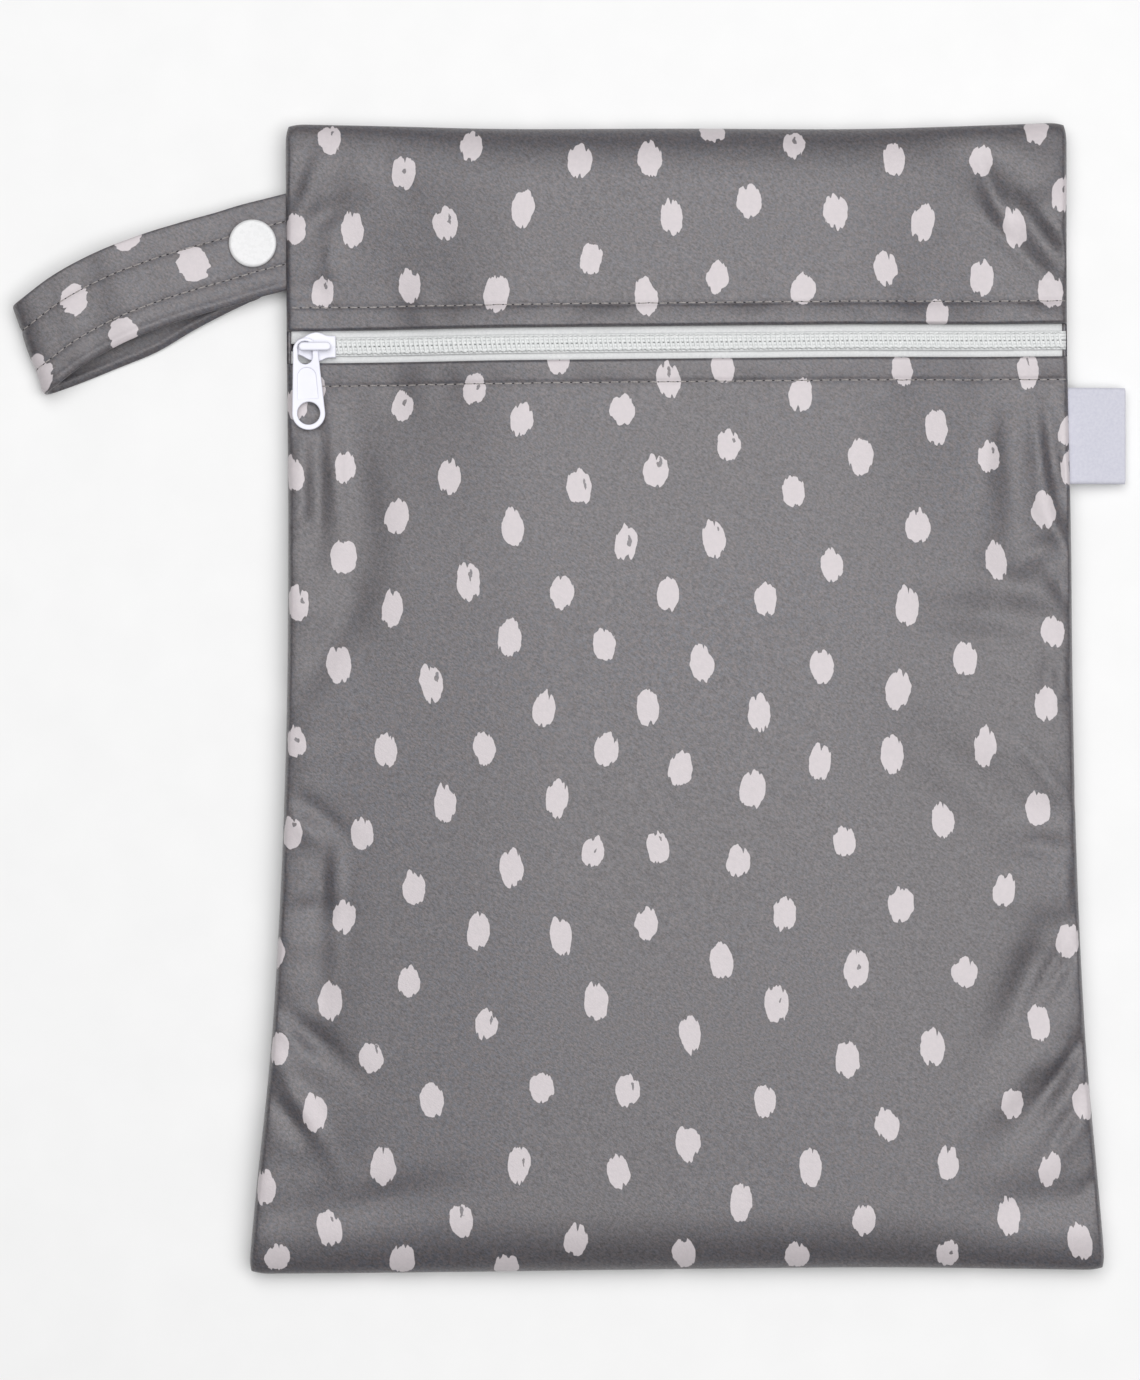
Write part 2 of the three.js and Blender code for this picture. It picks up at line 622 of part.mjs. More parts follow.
function labelRings(rows, grow) {
  const y = bag.height * (label.up - 0.5);
  const tucked = { out: -(label.tuck + grow) / label.length, down: 0, full: 1 };
  return [tucked, ...rows].map((row) => {
    const x = edgeX(1, y) + row.out * label.length;
    const height = rimBase - label.wall / 2 - row.down * label.droop;
    const thick = (row.full * label.wall) / 2 + grow;
    const half = label.width / 2 + grow;
    const corners = [[-half, -thick], [half, -thick], [half, thick], [-half, thick]];
    return corners.map(([beside, lift]) => new THREE.Vector3(x, y + beside, height + lift));
  });
}

// The whole bag

function finish(color, roughness) {
  return new THREE.MeshStandardMaterial({ color, roughness, metalness: 0 });
}

const greyCloth = finish(0x868486, 0.55);
const whiteTape = finish(0xeef0f0, 0.8);
const whitePlastic = finish(0xebebf5, 0.35);
const glossPlastic = finish(0xfafafa, 0.15);
const labelCloth = finish(0xe4e4f0, 0.75);

function meshOf(name, solid, material) {
  const geometry = new THREE.BufferGeometry();
  const numbers = solid.points.flatMap((point) => point.toArray());
  geometry.setAttribute('position', new THREE.Float32BufferAttribute(numbers, 3));
  geometry.setIndex(solid.faces.flat());
  const mesh = new THREE.Mesh(geometry, material);
  mesh.name = name;
  return mesh;
}

const sliderPlace = new THREE.Vector3(sliderLeft, zipY(sliderLeft), tapeTop);
const onZip = (solid) => moved(solid, sliderPlace, radians(zip.tilt));
const labelSlot = ringSolid(labelRings(labelRows.slice(0, 2), cloth.play));

const wetBag = new THREE.Group();
wetBag.add(
  meshOf('front_top_panel', upperPanel(), greyCloth),
  meshOf('front_lower_panel', lowerPanel(), greyCloth),
  meshOf('back_panel', backPanel(strapSlot(), labelSlot), greyCloth),
  meshOf('zip_tape_top', zipTape(1), whiteTape),
  meshOf('zip_tape_bottom', zipTape(-1), whiteTape),
  meshOf('zip_coil_top', zipCoil(1), whiteTape),
  meshOf('zip_coil_bottom', zipCoil(-1), whiteTape),
  meshOf('zip_slider', onZip(zipSlider()), whitePlastic),
  meshOf('zip_pull', onZip(zipPull()), whitePlastic),
  meshOf('wrist_strap', wristStrap(), greyCloth),
  meshOf('snap_cap', snapCap(), glossPlastic),
  meshOf('snap_core', snapCore(), glossPlastic),
  meshOf('snap_back_cap', snapDisc(snap.radius, 0, snap.backWall, 0), glossPlastic),
  meshOf('side_label', ringSolid(labelRings(labelRows, 0)), labelCloth),
);

// The origin is on the ground, under the middle of the whole outline
const box = new THREE.Box3().setFromObject(wetBag);
const middle = box.getCenter(new THREE.Vector3());
wetBag.position.set(-middle.x, -middle.y, -box.min.z);

export default wetBag;
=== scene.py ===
"""A zipped, spotted cloth wet bag lying on its back, dressed over its frame.

Shapes are worked out in millimetres and degrees, in the bag's own frame: X runs across the bag,
Y from its base to its top and Z up from the ground. Meshes are made in metres.
"""
import math
import random

import bpy
import numpy as np
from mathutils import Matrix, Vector


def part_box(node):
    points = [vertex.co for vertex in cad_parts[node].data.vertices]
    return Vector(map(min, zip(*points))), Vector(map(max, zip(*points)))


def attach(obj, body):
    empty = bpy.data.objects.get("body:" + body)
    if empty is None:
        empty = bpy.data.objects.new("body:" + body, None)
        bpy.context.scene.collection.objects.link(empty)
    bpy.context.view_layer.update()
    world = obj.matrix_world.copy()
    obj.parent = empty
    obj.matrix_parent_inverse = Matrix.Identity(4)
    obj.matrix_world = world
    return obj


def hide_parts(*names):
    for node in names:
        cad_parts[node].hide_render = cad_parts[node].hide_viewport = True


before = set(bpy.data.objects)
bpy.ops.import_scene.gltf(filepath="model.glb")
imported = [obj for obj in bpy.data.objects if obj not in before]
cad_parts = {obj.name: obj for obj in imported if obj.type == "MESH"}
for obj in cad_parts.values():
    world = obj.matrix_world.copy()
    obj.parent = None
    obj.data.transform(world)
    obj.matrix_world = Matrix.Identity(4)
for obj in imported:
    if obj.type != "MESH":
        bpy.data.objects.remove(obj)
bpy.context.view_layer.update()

MM = 0.001


def table(columns, *rows):
    """Rows of a table as one array for each named column."""
    return dict(zip(columns.split(), np.array(rows, dtype=float).T))


# The bag, its cloth and its zip
CLOTH = dict(wall=1.2, play=0.3, inner=0.4)
BAG = dict(width=204, height=298, seam=5.8, rise=7.8, crown=1.6, shoulder=16, roll=10, corner=2.6)
ZIP = dict(up=0.81, tilt=0.55, opening=8.4, level=16, ramp=46, dip=1.2, band=8, fade=60, lift=0.2)
TAPE = dict(wall=0.8, tuck=6, split=2, end=1.2)
COIL = dict(width=1.85, height=1.2, end=0.4, pitch=1.25)
SLIDER = dict(length=9.9, width=7.6, plate=0.7, flange=0.5, fromSeam=2.9, post=1.2)
CROWN = dict(start=0.4, end=8.8, width=2.2, wall=0.9, foot=0.6, pivot=1.2)
PULL = dict(reach=16.35, wall=1.2, loop=3.25, end=4.3, side=0.9, back=1.0, lean=2.4,
            slot=1.9, slot_length=2.2, slot_side=0.75, slot_back=0.5, hole=2.95, recess=0.25, border=0.9,
            flare=0.3)
STRAP = dict(width=24.5, wall=1.2, reach=66.7, drop=28, tuck=8, fromTop=30, fold=6.6)
SNAP = dict(radius=6.2, back=1.0, core=4, hub=0.05, fromSeam=8.7, drop=0.5)
LABEL = dict(length=14.8, width=25, wall=1.2, tuck=3.5, up=0.73, droop=1.6)
SIDE = dict(roll=1.5, ease=8, taut=0.74, share=0.64, reach=70)
HEM = dict(stitch=6.0, peak=0.6, groove=0.25, pinch=0.5, nose=0.35, pressed=0.4, spread=22, vary=0.45,
           sewn=0.985)
HEM_PUFF = {1: 0.9, -1: 0.45}  # above the zip and below it
HEM_PUCKER = dict(high=0.12, extra=0.16, start=-40, ramp=30, reach=6, length=14)
SIDE_PUCKER = dict(high=0.28, start=2.5, reach=9, length=13)
WAVE_FAN = 14
# Stitches; hole, rim and deep size the dark marks at the needle holes, which are painted shade
STITCH = dict(long=2.0, pitch=2.5, thick=0.3, stray=0.08, hole=0.43, rim=0.05, deep=0.18)
STRAP_STITCH = dict(long=1.8, pitch=2.375)

# Side edges: share of the height, then shares of half the width
SIDES = table("up left right", (0, 1.099, 1.085), (0.06, 1.083, 1.07), (0.2, 1.041, 1.034),
              (0.35, 1.015, 1.012), (0.5, 1.001, 1.001), (0.65, 0.998, 0.996),
              (0.81, 1.002, 0.987), (1, 1.005, 0.985))

# Top and base edges: share of half the width, then rises as shares of the height
ENDS = table("across top base", (-1, 0.0018, -0.0012), (-0.75, 0, -0.0005), (-0.45, -0.0024, 0.0008),
             (0, -0.0021, 0.003), (0.45, -0.0025, 0.0045), (0.8, 0.0008, 0.0032), (1, 0.0034, 0.002))

# Soft folds of the front: centre, length and width as shares of the width, depth as a share of
# the front's rise with ridges negative, and degrees from the X axis
FOLDS = table("across up long wide deep turn",
              (-0.9, 0.945, 0.13, 0.05, 0.16, 84), (0.82, 0.935, 0.18, 0.05, 0.18, -42),
              (0.9, 0.965, 0.14, 0.045, -0.09, -48), (0.93, 0.918, 0.08, 0.05, 0.14, 88),
              (-0.9, 0.678, 0.2, 0.055, 0.2, 79), (-0.84, 0.6, 0.17, 0.06, 0.12, 97),
              (0.88, 0.67, 0.24, 0.055, 0.2, 71), (0.95, 0.655, 0.14, 0.045, -0.1, 108),
              (0.9, 0.27, 0.17, 0.05, 0.17, 58), (0.88, 0.155, 0.16, 0.045, 0.18, 47),
              (0.83, 0.172, 0.16, 0.04, -0.1, 47), (-0.88, 0.273, 0.3, 0.06, 0.13, 88),
              (-0.88, 0.085, 0.14, 0.05, 0.15, 47))

# Strap route from the seam: shares of its reach and drop, shares of the layer heights that add
# up to its own, and the slant of its width in degrees
STRAP_ROUTE = table("out down upper seat fold turn",
                    (0, 0, 1, 0, 0, 12), (0.05, 0.03, 1, 0, 0, 12), (0.14, 0.085, 1, 0, 0, 13),
                    (0.235, 0.155, 1, 0, 0, 14), (0.37, 0.25, 0.55, 0, 0.5, 16),
                    (0.54, 0.385, 0, 0, 1.06, 18), (0.72, 0.565, 0, 0, 1.1, 20),
                    (0.86, 0.755, 0, 0, 1.06, 20), (0.955, 0.925, 0, 0, 1, 20),
                    (0.987, 0.98, 0, 0, 0.85, 20), (1, 1, 0, 0, 0.5, 20),
                    (0.987, 0.992, 0, 0, 0.15, 20), (0.95, 0.96, 0, 0, 0, 20),
                    (0.87, 0.89, 0, 0, 0, 20), (0.73, 0.755, 0, 0, 0, 21),
                    (0.58, 0.607, 0, 0.1, 0, 22), (0.42, 0.39, 0, 0.6, 0, 20),
                    (0.29, 0.235, 0, 1, 0, 17), (0.196, 0.13, 0, 1, 0, 15))

# Label from the seam: shares of its length and its droop
LABEL_ROUTE = table("out down", (0, 0), (0.12, 0.02), (0.4, 0.25), (0.7, 0.68), (0.95, 1), (1, 1.02))

# Slider outline: share of its length, then share of half its width
SLIDER_ROWS = table("along half", (0, 0.5), (0.12, 0.62), (0.3, 0.88), (0.47, 1), (0.62, 0.94),
                    (0.76, 0.78), (1, 0.74))

# Seeds of the random waves and draws
SEED = dict(hem=13, pucker=11, side=23, strap=37, strap_spots=43, strap_places=41, tape=61, label=91, coil=71,
            thread=51, front_spots=7, back_spots=8, back_places=31)

HALF_WIDTH = BAG["width"] / 2
RIM_TOP = BAG["seam"] + CLOTH["play"] / 2
RIM_BASE = BAG["seam"] - CLOTH["play"] / 2

# The photograph's frame, in pixels and millimetres
PHOTO = dict(width=1140, height=1380, mm=0.26, middle_x=569.1, middle_y=698.5, distance=1200)

# Middles of the printed spots on the front, in pixels of the photograph
SPOTS = (
    (330, 141), (404, 175), (472, 148), (580, 163), (649, 161), (712, 133), (793, 147), (893, 162),
    (980, 162), (1035, 130), (295, 230), (353, 231), (446, 226), (523, 212), (671, 220), (748, 204),
    (834, 215), (921, 225), (1014, 229), (1062, 195), (591, 262), (323, 293), (410, 287), (497, 297),
    (646, 299), (717, 280), (802, 292), (884, 271), (981, 279), (1050, 292), (936, 316),
    (403, 407), (475, 390), (522, 421), (622, 412), (722, 370), (799, 396), (901, 372), (1027, 372),
    (728, 447), (859, 458), (935, 428), (988, 457), (1042, 511), (450, 478), (346, 468), (579, 488),
    (655, 472), (792, 493), (916, 527), (294, 475), (398, 517), (513, 528), (713, 541), (830, 566),
    (994, 561), (626, 544), (345, 557), (469, 582), (562, 593), (667, 595), (764, 600), (905, 607),
    (1051, 632), (393, 609), (298, 604), (510, 638), (604, 645), (701, 664), (820, 667), (963, 659),
    (340, 665), (432, 683), (544, 709), (647, 707), (758, 713), (896, 690), (1044, 704), (387, 750),
    (485, 748), (606, 749), (680, 768), (751, 788), (818, 762), (890, 754), (983, 747), (297, 742),
    (446, 803), (557, 798), (292, 833), (363, 833), (593, 851), (657, 846), (737, 860), (842, 840),
    (941, 820), (1036, 808), (415, 887), (512, 867), (345, 916), (479, 930), (561, 935), (646, 922),
    (783, 912), (899, 904), (1002, 890), (1066, 940), (279, 952), (410, 980), (720, 959), (854, 967),
    (962, 971), (1037, 1022), (331, 1000), (596, 999), (775, 1002), (487, 1022), (689, 1032),
    (845, 1057), (930, 1045), (372, 1056), (279, 1048), (316, 1111), (433, 1098), (542, 1085),
    (627, 1087), (764, 1098), (885, 1122), (1010, 1102), (1083, 1100), (384, 1164), (519, 1162),
    (618, 1169), (687, 1140), (809, 1164), (946, 1160), (1048, 1168), (266, 1185), (330, 1226),
    (462, 1217), (576, 1237), (740, 1199), (862, 1217), (1007, 1214), (1078, 1240), (278, 1256),
    (403, 1258), (507, 1265), (684, 1252), (796, 1254), (946, 1252), (296, 405), (314, 388),
    (1068, 430), (1069, 470), (1075, 800), (558, 362), (668, 382),
)
STRAP_SPOTS = ((123, 236), (192, 265), (72, 302), (128, 335), (46, 372))
SPOT = dict(wide=6.3, tall=8.8, spacing=19.5, rows=0.87, stray=4)
STRAP_SPOT = dict(wide=9.2, tall=7.5)

# Creases of the front: middle in pixels of the photograph, length, width and depth, with ridges
# negative, and degrees from the X axis
CREASES = table("x y long wide deep turn",
                (318, 490, 16, 2.4, 0.75, 90), (337, 470, 14, 2.2, -0.5, 94), (302, 478, 10, 2, -0.4, 90),
                (362, 500, 17, 5.5, 0.8, 97), (325, 650, 17, 4.5, 0.9, 60), (296, 532, 3, 1.2, 0.7, 20),
                (298, 514, 3, 1.2, -0.4, 25), (322, 815, 9, 2.4, 0.5, -40), (300, 822, 7, 2, -0.4, -48),
                (338, 880, 8, 2, -0.5, 88), (322, 882, 8, 2.2, 0.5, 86), (313, 908, 6, 3, 0.6, 8),
                (336, 950, 9, 2.6, -0.35, 88), (315, 1037, 12, 3, 0.85, -40), (290, 1034, 7, 2.2, -0.4, -48),
                (303, 1105, 14, 2.5, -0.6, -60), (286, 1112, 8, 2.5, 0.7, -52), (388, 1199, 17, 5, 0.9, 14),
                (297, 1212, 11, 4, 0.6, 34), (1012, 470, 14, 3.8, 0.8, 87), (986, 450, 12, 2.4, -0.45, 80),
                (1054, 468, 14, 2.1, 0.95, -81), (1039, 455, 13, 2, -0.5, -86),
                (1060, 540, 8, 1.6, -0.5, -62), (1036, 552, 8, 3.6, 0.9, 35),
                (1060, 590, 9, 2.4, 0.7, -65), (985, 616, 17, 4.8, 0.85, -5),
                (1020, 588, 12, 3.6, -0.45, -18), (1060, 680, 7, 1.8, -0.45, 90), (1046, 676, 7, 2, 0.4, 86),
                (1064, 706, 3, 1.6, 0.5, 10), (962, 775, 28, 7.5, 0.9, -37), (1035, 845, 8, 3, 0.5, 0),
                (1040, 770, 12, 2.4, -0.45, -52), (1063, 885, 12, 2, -0.45, 88), (1025, 975, 18, 5, 0.9, 68),
                (1047, 972, 9, 1.5, -0.5, 60), (1057, 973, 8, 1.5, 0.7, 57), (1061, 1066, 12, 1.8, 1.0, 54),
                (1049, 1072, 10, 1.6, -0.45, 56), (1069, 1086, 11, 1.6, -0.45, 54),
                (1062, 1124, 9, 1.7, 0.6, 55), (1076, 1126, 9, 1.6, -0.4, 55),
                (1046, 1198, 16, 6.5, 1.1, 5), (1089, 1183, 5, 2, 0.6, 50),
                (315, 186, 10, 3, -0.6, 65), (299, 180, 9, 2.2, 0.5, 72), (325, 217, 9, 3, 0.75, 30),
                (332, 262, 7, 2.4, -0.5, 86), (309, 291, 7, 3, 0.5, 12), (384, 162, 12, 4, 0.35, -60),
                (994, 199, 11, 2.5, 0.9, -67), (1016, 250, 13, 2, -0.6, -45), (1032, 190, 6, 4.2, -0.55, 20),
                (1040, 238, 12, 3, 1.05, -52), (1052, 226, 8, 1.6, -0.4, -52))
CREASE_STRENGTH = 1.5


# Small mathematics

def smooth(value):
    share = np.clip(value, 0, 1)
    return share * share * (3 - 2 * share)


def read(rows, key, column, place):
    """A column of a table at places along its key, on a smooth curve through the rows."""
    keys, values = rows[key], rows[column]
    last = len(keys) - 1
    before = np.maximum(np.arange(last + 1) - 1, 0)
    after = np.minimum(np.arange(last + 1) + 1, last)
    slopes = (values[after] - values[before]) / (keys[after] - keys[before])
    i = np.clip(np.searchsorted(keys, place, side="right") - 1, 0, last - 1)
    span = keys[i + 1] - keys[i]
    t = np.clip((place - keys[i]) / span, 0, 1)
    bend = t * (1 - t) * span * ((1 - t) * slopes[i] - t * slopes[i + 1])
    return values[i] + (values[i + 1] - values[i]) * smooth(t) + bend


def swell(distance, width):
    """Quarter round: 0 at an edge, 1 at the given width from it."""
    rest = 1 - np.clip(distance / width, 0, 1)
    return np.sqrt(1 - rest * rest)


def round_places(cells):
    """Places from 0 to 1 across a round edge, closer together where it is steep."""
    return 1 - np.cos(np.linspace(0, math.pi / 2, cells + 1))


def joined(*lists):
    return np.concatenate([part[1:] if i else part for i, part in enumerate(lists)])


def even(start, end, cell):
    return np.linspace(start, end, max(2, round(abs(end - start) / cell)) + 1)


def ripple(x, y, length, seed, fan=None):
    """Smooth random waves about 1 high, of about the given length.

    They run every way, or along X within a fan of so many degrees to either side.
    """
    draw = random.Random(seed)
    total = np.zeros(np.broadcast(x, y).shape)
    waves = 7
    for _ in range(waves):
        angle = draw.uniform(0, math.pi) if fan is None else math.radians(draw.uniform(-fan, fan))
        wave = 2 * math.pi / (length * draw.uniform(0.7, 1.5))
        total += np.sin(wave * (x * math.cos(angle) + y * math.sin(angle)) + draw.uniform(0, 2 * math.pi))
    return total / math.sqrt(waves)


def unit(vectors):
    return vectors / np.linalg.norm(vectors, axis=-1, keepdims=True)


# Plan of the bag

def edge_x(across, y, inset=0):
    share = y / BAG["height"] + 0.5
    side = np.where(across < 0, read(SIDES, "up", "left", share), read(SIDES, "up", "right", share))
    return across * (HALF_WIDTH * side - inset)


def end_y(end, across, inset=0):
    sign = 1 if end == "top" else -1
    return BAG["height"] * (read(ENDS, "across", end, across) + sign / 2) - sign * inset


def zip_y(x):
    return BAG["height"] * (ZIP["up"] - 0.5) + math.tan(math.radians(ZIP["tilt"])) * x


def hem_y(across, side):
    return zip_y(across * HALF_WIDTH) + side * ZIP["opening"] / 2


def round_corner(x, y, across, side_gap, end_gap):
    """Rounds the corners in plan, given the distances from the side and the end edge."""
    near = (1 - np.clip(side_gap / (2 * BAG["corner"]), 0, 1)) ** 2
    near = near * (1 - np.clip(end_gap / (2 * BAG["corner"]), 0, 1)) ** 2
    shift = BAG["corner"] * (1 - math.sqrt(0.5)) * near
    return x - np.sign(across) * shift, y - np.sign(y) * shift


# Where the bag's own frame lies
STRAP_Y = BAG["height"] / 2 - STRAP["fromTop"]
SEAM_LEFT = float(edge_x(np.array(-1.0), np.array(STRAP_Y)))
SNAP_PLACE = np.array([SEAM_LEFT - SNAP["fromSeam"], STRAP_Y - SNAP["drop"]])
SLIDER_LEFT = float(edge_x(np.array(-1.0), np.array(zip_y(-HALF_WIDTH)))) + SLIDER["fromSeam"]


def bag_origin():
    low, high = (np.array(corner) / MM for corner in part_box("snap_cap"))
    x, y = (low + high)[:2] / 2 - SNAP_PLACE
    return np.array([x, y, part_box("snap_back_cap")[0][2] / MM])


ORIGIN = bag_origin()


def from_photo(x, y):
    """A place on the bag, in its own frame, from pixels of the photograph."""
    from_middle = np.array([x - PHOTO["middle_x"], PHOTO["middle_y"] - y])
    return from_middle * PHOTO["mm"] - ORIGIN[:2]


# Heights of the front

def zip_rise(across):
    flat = CLOTH["wall"] + ZIP["lift"]
    inward = HALF_WIDTH * (1 - np.abs(across))
    return flat + (BAG["rise"] - ZIP["dip"] - flat) * smooth((inward - ZIP["level"]) / ZIP["ramp"])


def zip_nearness(across, y):
    return 1 - smooth((np.abs(y - zip_y(across * HALF_WIDTH)) - ZIP["band"]) / ZIP["fade"])


def front_rise(across, y):
    """Rise of the front over its rim: slow towards the middle, with a dip along the zip."""
    crown = BAG["crown"] * (1 - across ** 2) * (1 - (2 * y / BAG["height"]) ** 2)
    climb = smooth(HALF_WIDTH * (1 - np.abs(across)) / SIDE["reach"])
    near = zip_nearness(across, y)
    full = (BAG["rise"] + crown) * (SIDE["share"] + (1 - SIDE["share"]) * climb)
    return full * (1 - near) + zip_rise(across) * near


def fold_depth(across, y):
    depth = 0
    for i, turn in enumerate(np.radians(FOLDS["turn"])):
        x = (across - FOLDS["across"][i]) * HALF_WIDTH
        climb = y - (FOLDS["up"][i] - 0.5) * BAG["height"]
        along = (x * math.cos(turn) + climb * math.sin(turn)) / (FOLDS["long"][i] * BAG["width"])
        beside = (climb * math.cos(turn) - x * math.sin(turn)) / (FOLDS["wide"][i] * BAG["width"])
        depth = depth + FOLDS["deep"][i] * BAG["rise"] * np.exp(-4 * along ** 2 - 4 * beside ** 2)
    return depth * (1 - zip_nearness(across, y))


def crease_depth(x, y):
    """Creases and small ridges, finer than the soft folds."""
    depth = 0
    for i, turn in enumerate(np.radians(CREASES["turn"])):
        place = from_photo(CREASES["x"][i], CREASES["y"][i])
        side, climb = x - place[0], y - place[1]
        along = (side * math.cos(turn) + climb * math.sin(turn)) / CREASES["long"][i]
        beside = (climb * math.cos(turn) - side * math.sin(turn)) / CREASES["wide"][i]
        depth = depth + CREASES["deep"][i] * np.exp(-along ** 2 - beside ** 2)
    return depth * CREASE_STRENGTH


def hem_relief(x, gap, side):
    """Turned hem: a band puffed most near its edge, the groove of its stitches and small puckers.

    It is pressed flatter beside the slider.
    """
    past = gap - HEM["stitch"]
    free = smooth((x - SLIDER_LEFT - SLIDER["length"]) / HEM["spread"])
    full = HEM_PUFF[side] * (HEM["pressed"] + (1 - HEM["pressed"]) * free)
    uneven = ripple(x, gap * 0, 2 * HEM_PUCKER["length"], SEED["hem"], WAVE_FAN)
    full = full * (1 + HEM["vary"] * free * uneven)
    rising = np.clip(gap / HEM["peak"], 0, 1)
    falling = np.clip((gap - HEM["peak"]) / (HEM["stitch"] - HEM["peak"]), 0, 1)
    puff = full * np.sin(rising * math.pi / 2) * (1 - falling ** 2)
    groove = -HEM["groove"] * np.exp(-(past / HEM["pinch"]) ** 2)
    pucker = HEM_PUCKER["high"] + HEM_PUCKER["extra"] * smooth((HEM_PUCKER["start"] - x) / HEM_PUCKER["ramp"])
    waves = ripple(x, gap * 0.3, HEM_PUCKER["length"], SEED["pucker"], WAVE_FAN)
    return puff + groove + pucker * waves * np.exp(-(past / HEM_PUCKER["reach"]) ** 2)


def edge_relief(y, side_gap):
    """Small puckers that run in from the side seams."""
    waves = ripple(y, side_gap * 0.5, SIDE_PUCKER["length"], SEED["side"], WAVE_FAN)
    fading = np.exp(-side_gap / SIDE_PUCKER["reach"]) * np.clip(side_gap / SIDE_PUCKER["start"], 0, 1)
    return SIDE_PUCKER["high"] * waves * fading


def front_points(across, y, end_gap, hem_gap, inset, side):
    """Points of the front's outer face, or of its inner face when inset by the cloth's wall."""
    side_gap = HALF_WIDTH * (1 - np.abs(across))
    x = edge_x(across, y, inset)
    taut = SIDE["taut"]
    round_side = taut * swell(side_gap, SIDE["roll"]) + (1 - taut) * swell(side_gap, SIDE["ease"])
    round_edge = round_side * swell(end_gap, BAG["shoulder"])
    relief = hem_relief(x, hem_gap, side) + edge_relief(y, side_gap) - crease_depth(x, y)
    if inset:
        relief = np.minimum(relief, 0) * CLOTH["inner"]
    rise = front_rise(across, y) - inset - fold_depth(across, y) + relief
    nose = HEM["nose"] * (1 - swell(hem_gap, HEM["nose"]))
    height = RIM_TOP + rise * round_edge + (nose if inset else -nose)
    x, y = round_corner(x, y, across, side_gap, end_gap)
    return np.stack([x, y, height], -1)


# Meshes

def grid_faces(columns, rows, first=0, flip=False):
    i, j = np.meshgrid(np.arange(columns - 1), np.arange(rows - 1), indexing="ij")
    a = (first + i * rows + j).ravel()
    corners = [a, a + rows, a + rows + 1, a + 1]
    return np.stack(corners[::-1] if flip else corners, -1)


def shell(outer, inner):
    """A walled sheet between an outer and an inner grid of points, with its rim closed."""
    columns, rows = outer.shape[:2]
    count = columns * rows
    points = np.concatenate([outer.reshape(-1, 3), inner.reshape(-1, 3)])
    number = np.arange(count).reshape(columns, rows)
    rim = np.concatenate([number[:, 0], number[-1, 1:], number[-2::-1, -1], number[0, -2:0:-1]])
    following = np.roll(rim, -1)
    side = np.stack([following, rim, rim + count, following + count], -1)
    faces = np.concatenate([grid_faces(columns, rows), grid_faces(columns, rows, count, True), side])
    return points, faces


def rings_solid(rings):
    """A solid through a row of rings with as many points each."""
    rings = np.asarray(rings)
    count, around = rings.shape[:2]
    i, j = np.meshgrid(np.arange(count - 1), np.arange(around), indexing="ij")
    a, b = i * around + j, i * around + (j + 1) % around
    faces = np.stack([a, a + around, b + around, b], -1).reshape(-1, 4).tolist()
    faces += [list(range(around)), [(count - 1) * around + k for k in range(around)][::-1]]
    return rings.reshape(-1, 3), faces


def make_object(name, points, faces, material, body="bag"):
    mesh = bpy.data.meshes.new(name)
    local = (np.asarray(points) + ORIGIN) * MM
    mesh.from_pydata(local.tolist(), [], faces if isinstance(faces, list) else faces.tolist())
    mesh.validate()
    mesh.materials.append(material)
    mesh.shade_smooth()
    piece = bpy.data.objects.new(name, mesh)
    bpy.context.scene.collection.objects.link(piece)
    outward(mesh)
    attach(piece, body)
    return piece


def outward(mesh):
    """Turns all faces over if the closed mesh is inside out."""
    mesh.calc_loop_triangles()
    places = np.empty(len(mesh.vertices) * 3)
    mesh.vertices.foreach_get("co", places)
    corners = np.empty(len(mesh.loop_triangles) * 3, dtype=np.int32)
    mesh.loop_triangles.foreach_get("vertices", corners)
    a, b, c = places.reshape(-1, 3)[corners.reshape(-1, 3)].transpose(1, 0, 2)
    if (a * np.cross(b, c)).sum() < 0:
        mesh.flip_normals()


def mesh_numbers(items, key):
    """A whole number of each item of a mesh, such as the vertex at each corner."""
    numbers = np.empty(len(items), dtype=np.int32)
    items.foreach_get(key, numbers)
    return numbers


def gather(parts):
    """Several meshes of points and faces as one."""
    points, faces, start = [], [], 0
    for some_points, some_faces in parts:
        points.append(np.asarray(some_points))
        faces += [[start + k for k in face] for face in some_faces]
        start += len(some_points)
    return np.concatenate(points), faces


# Shader nodes

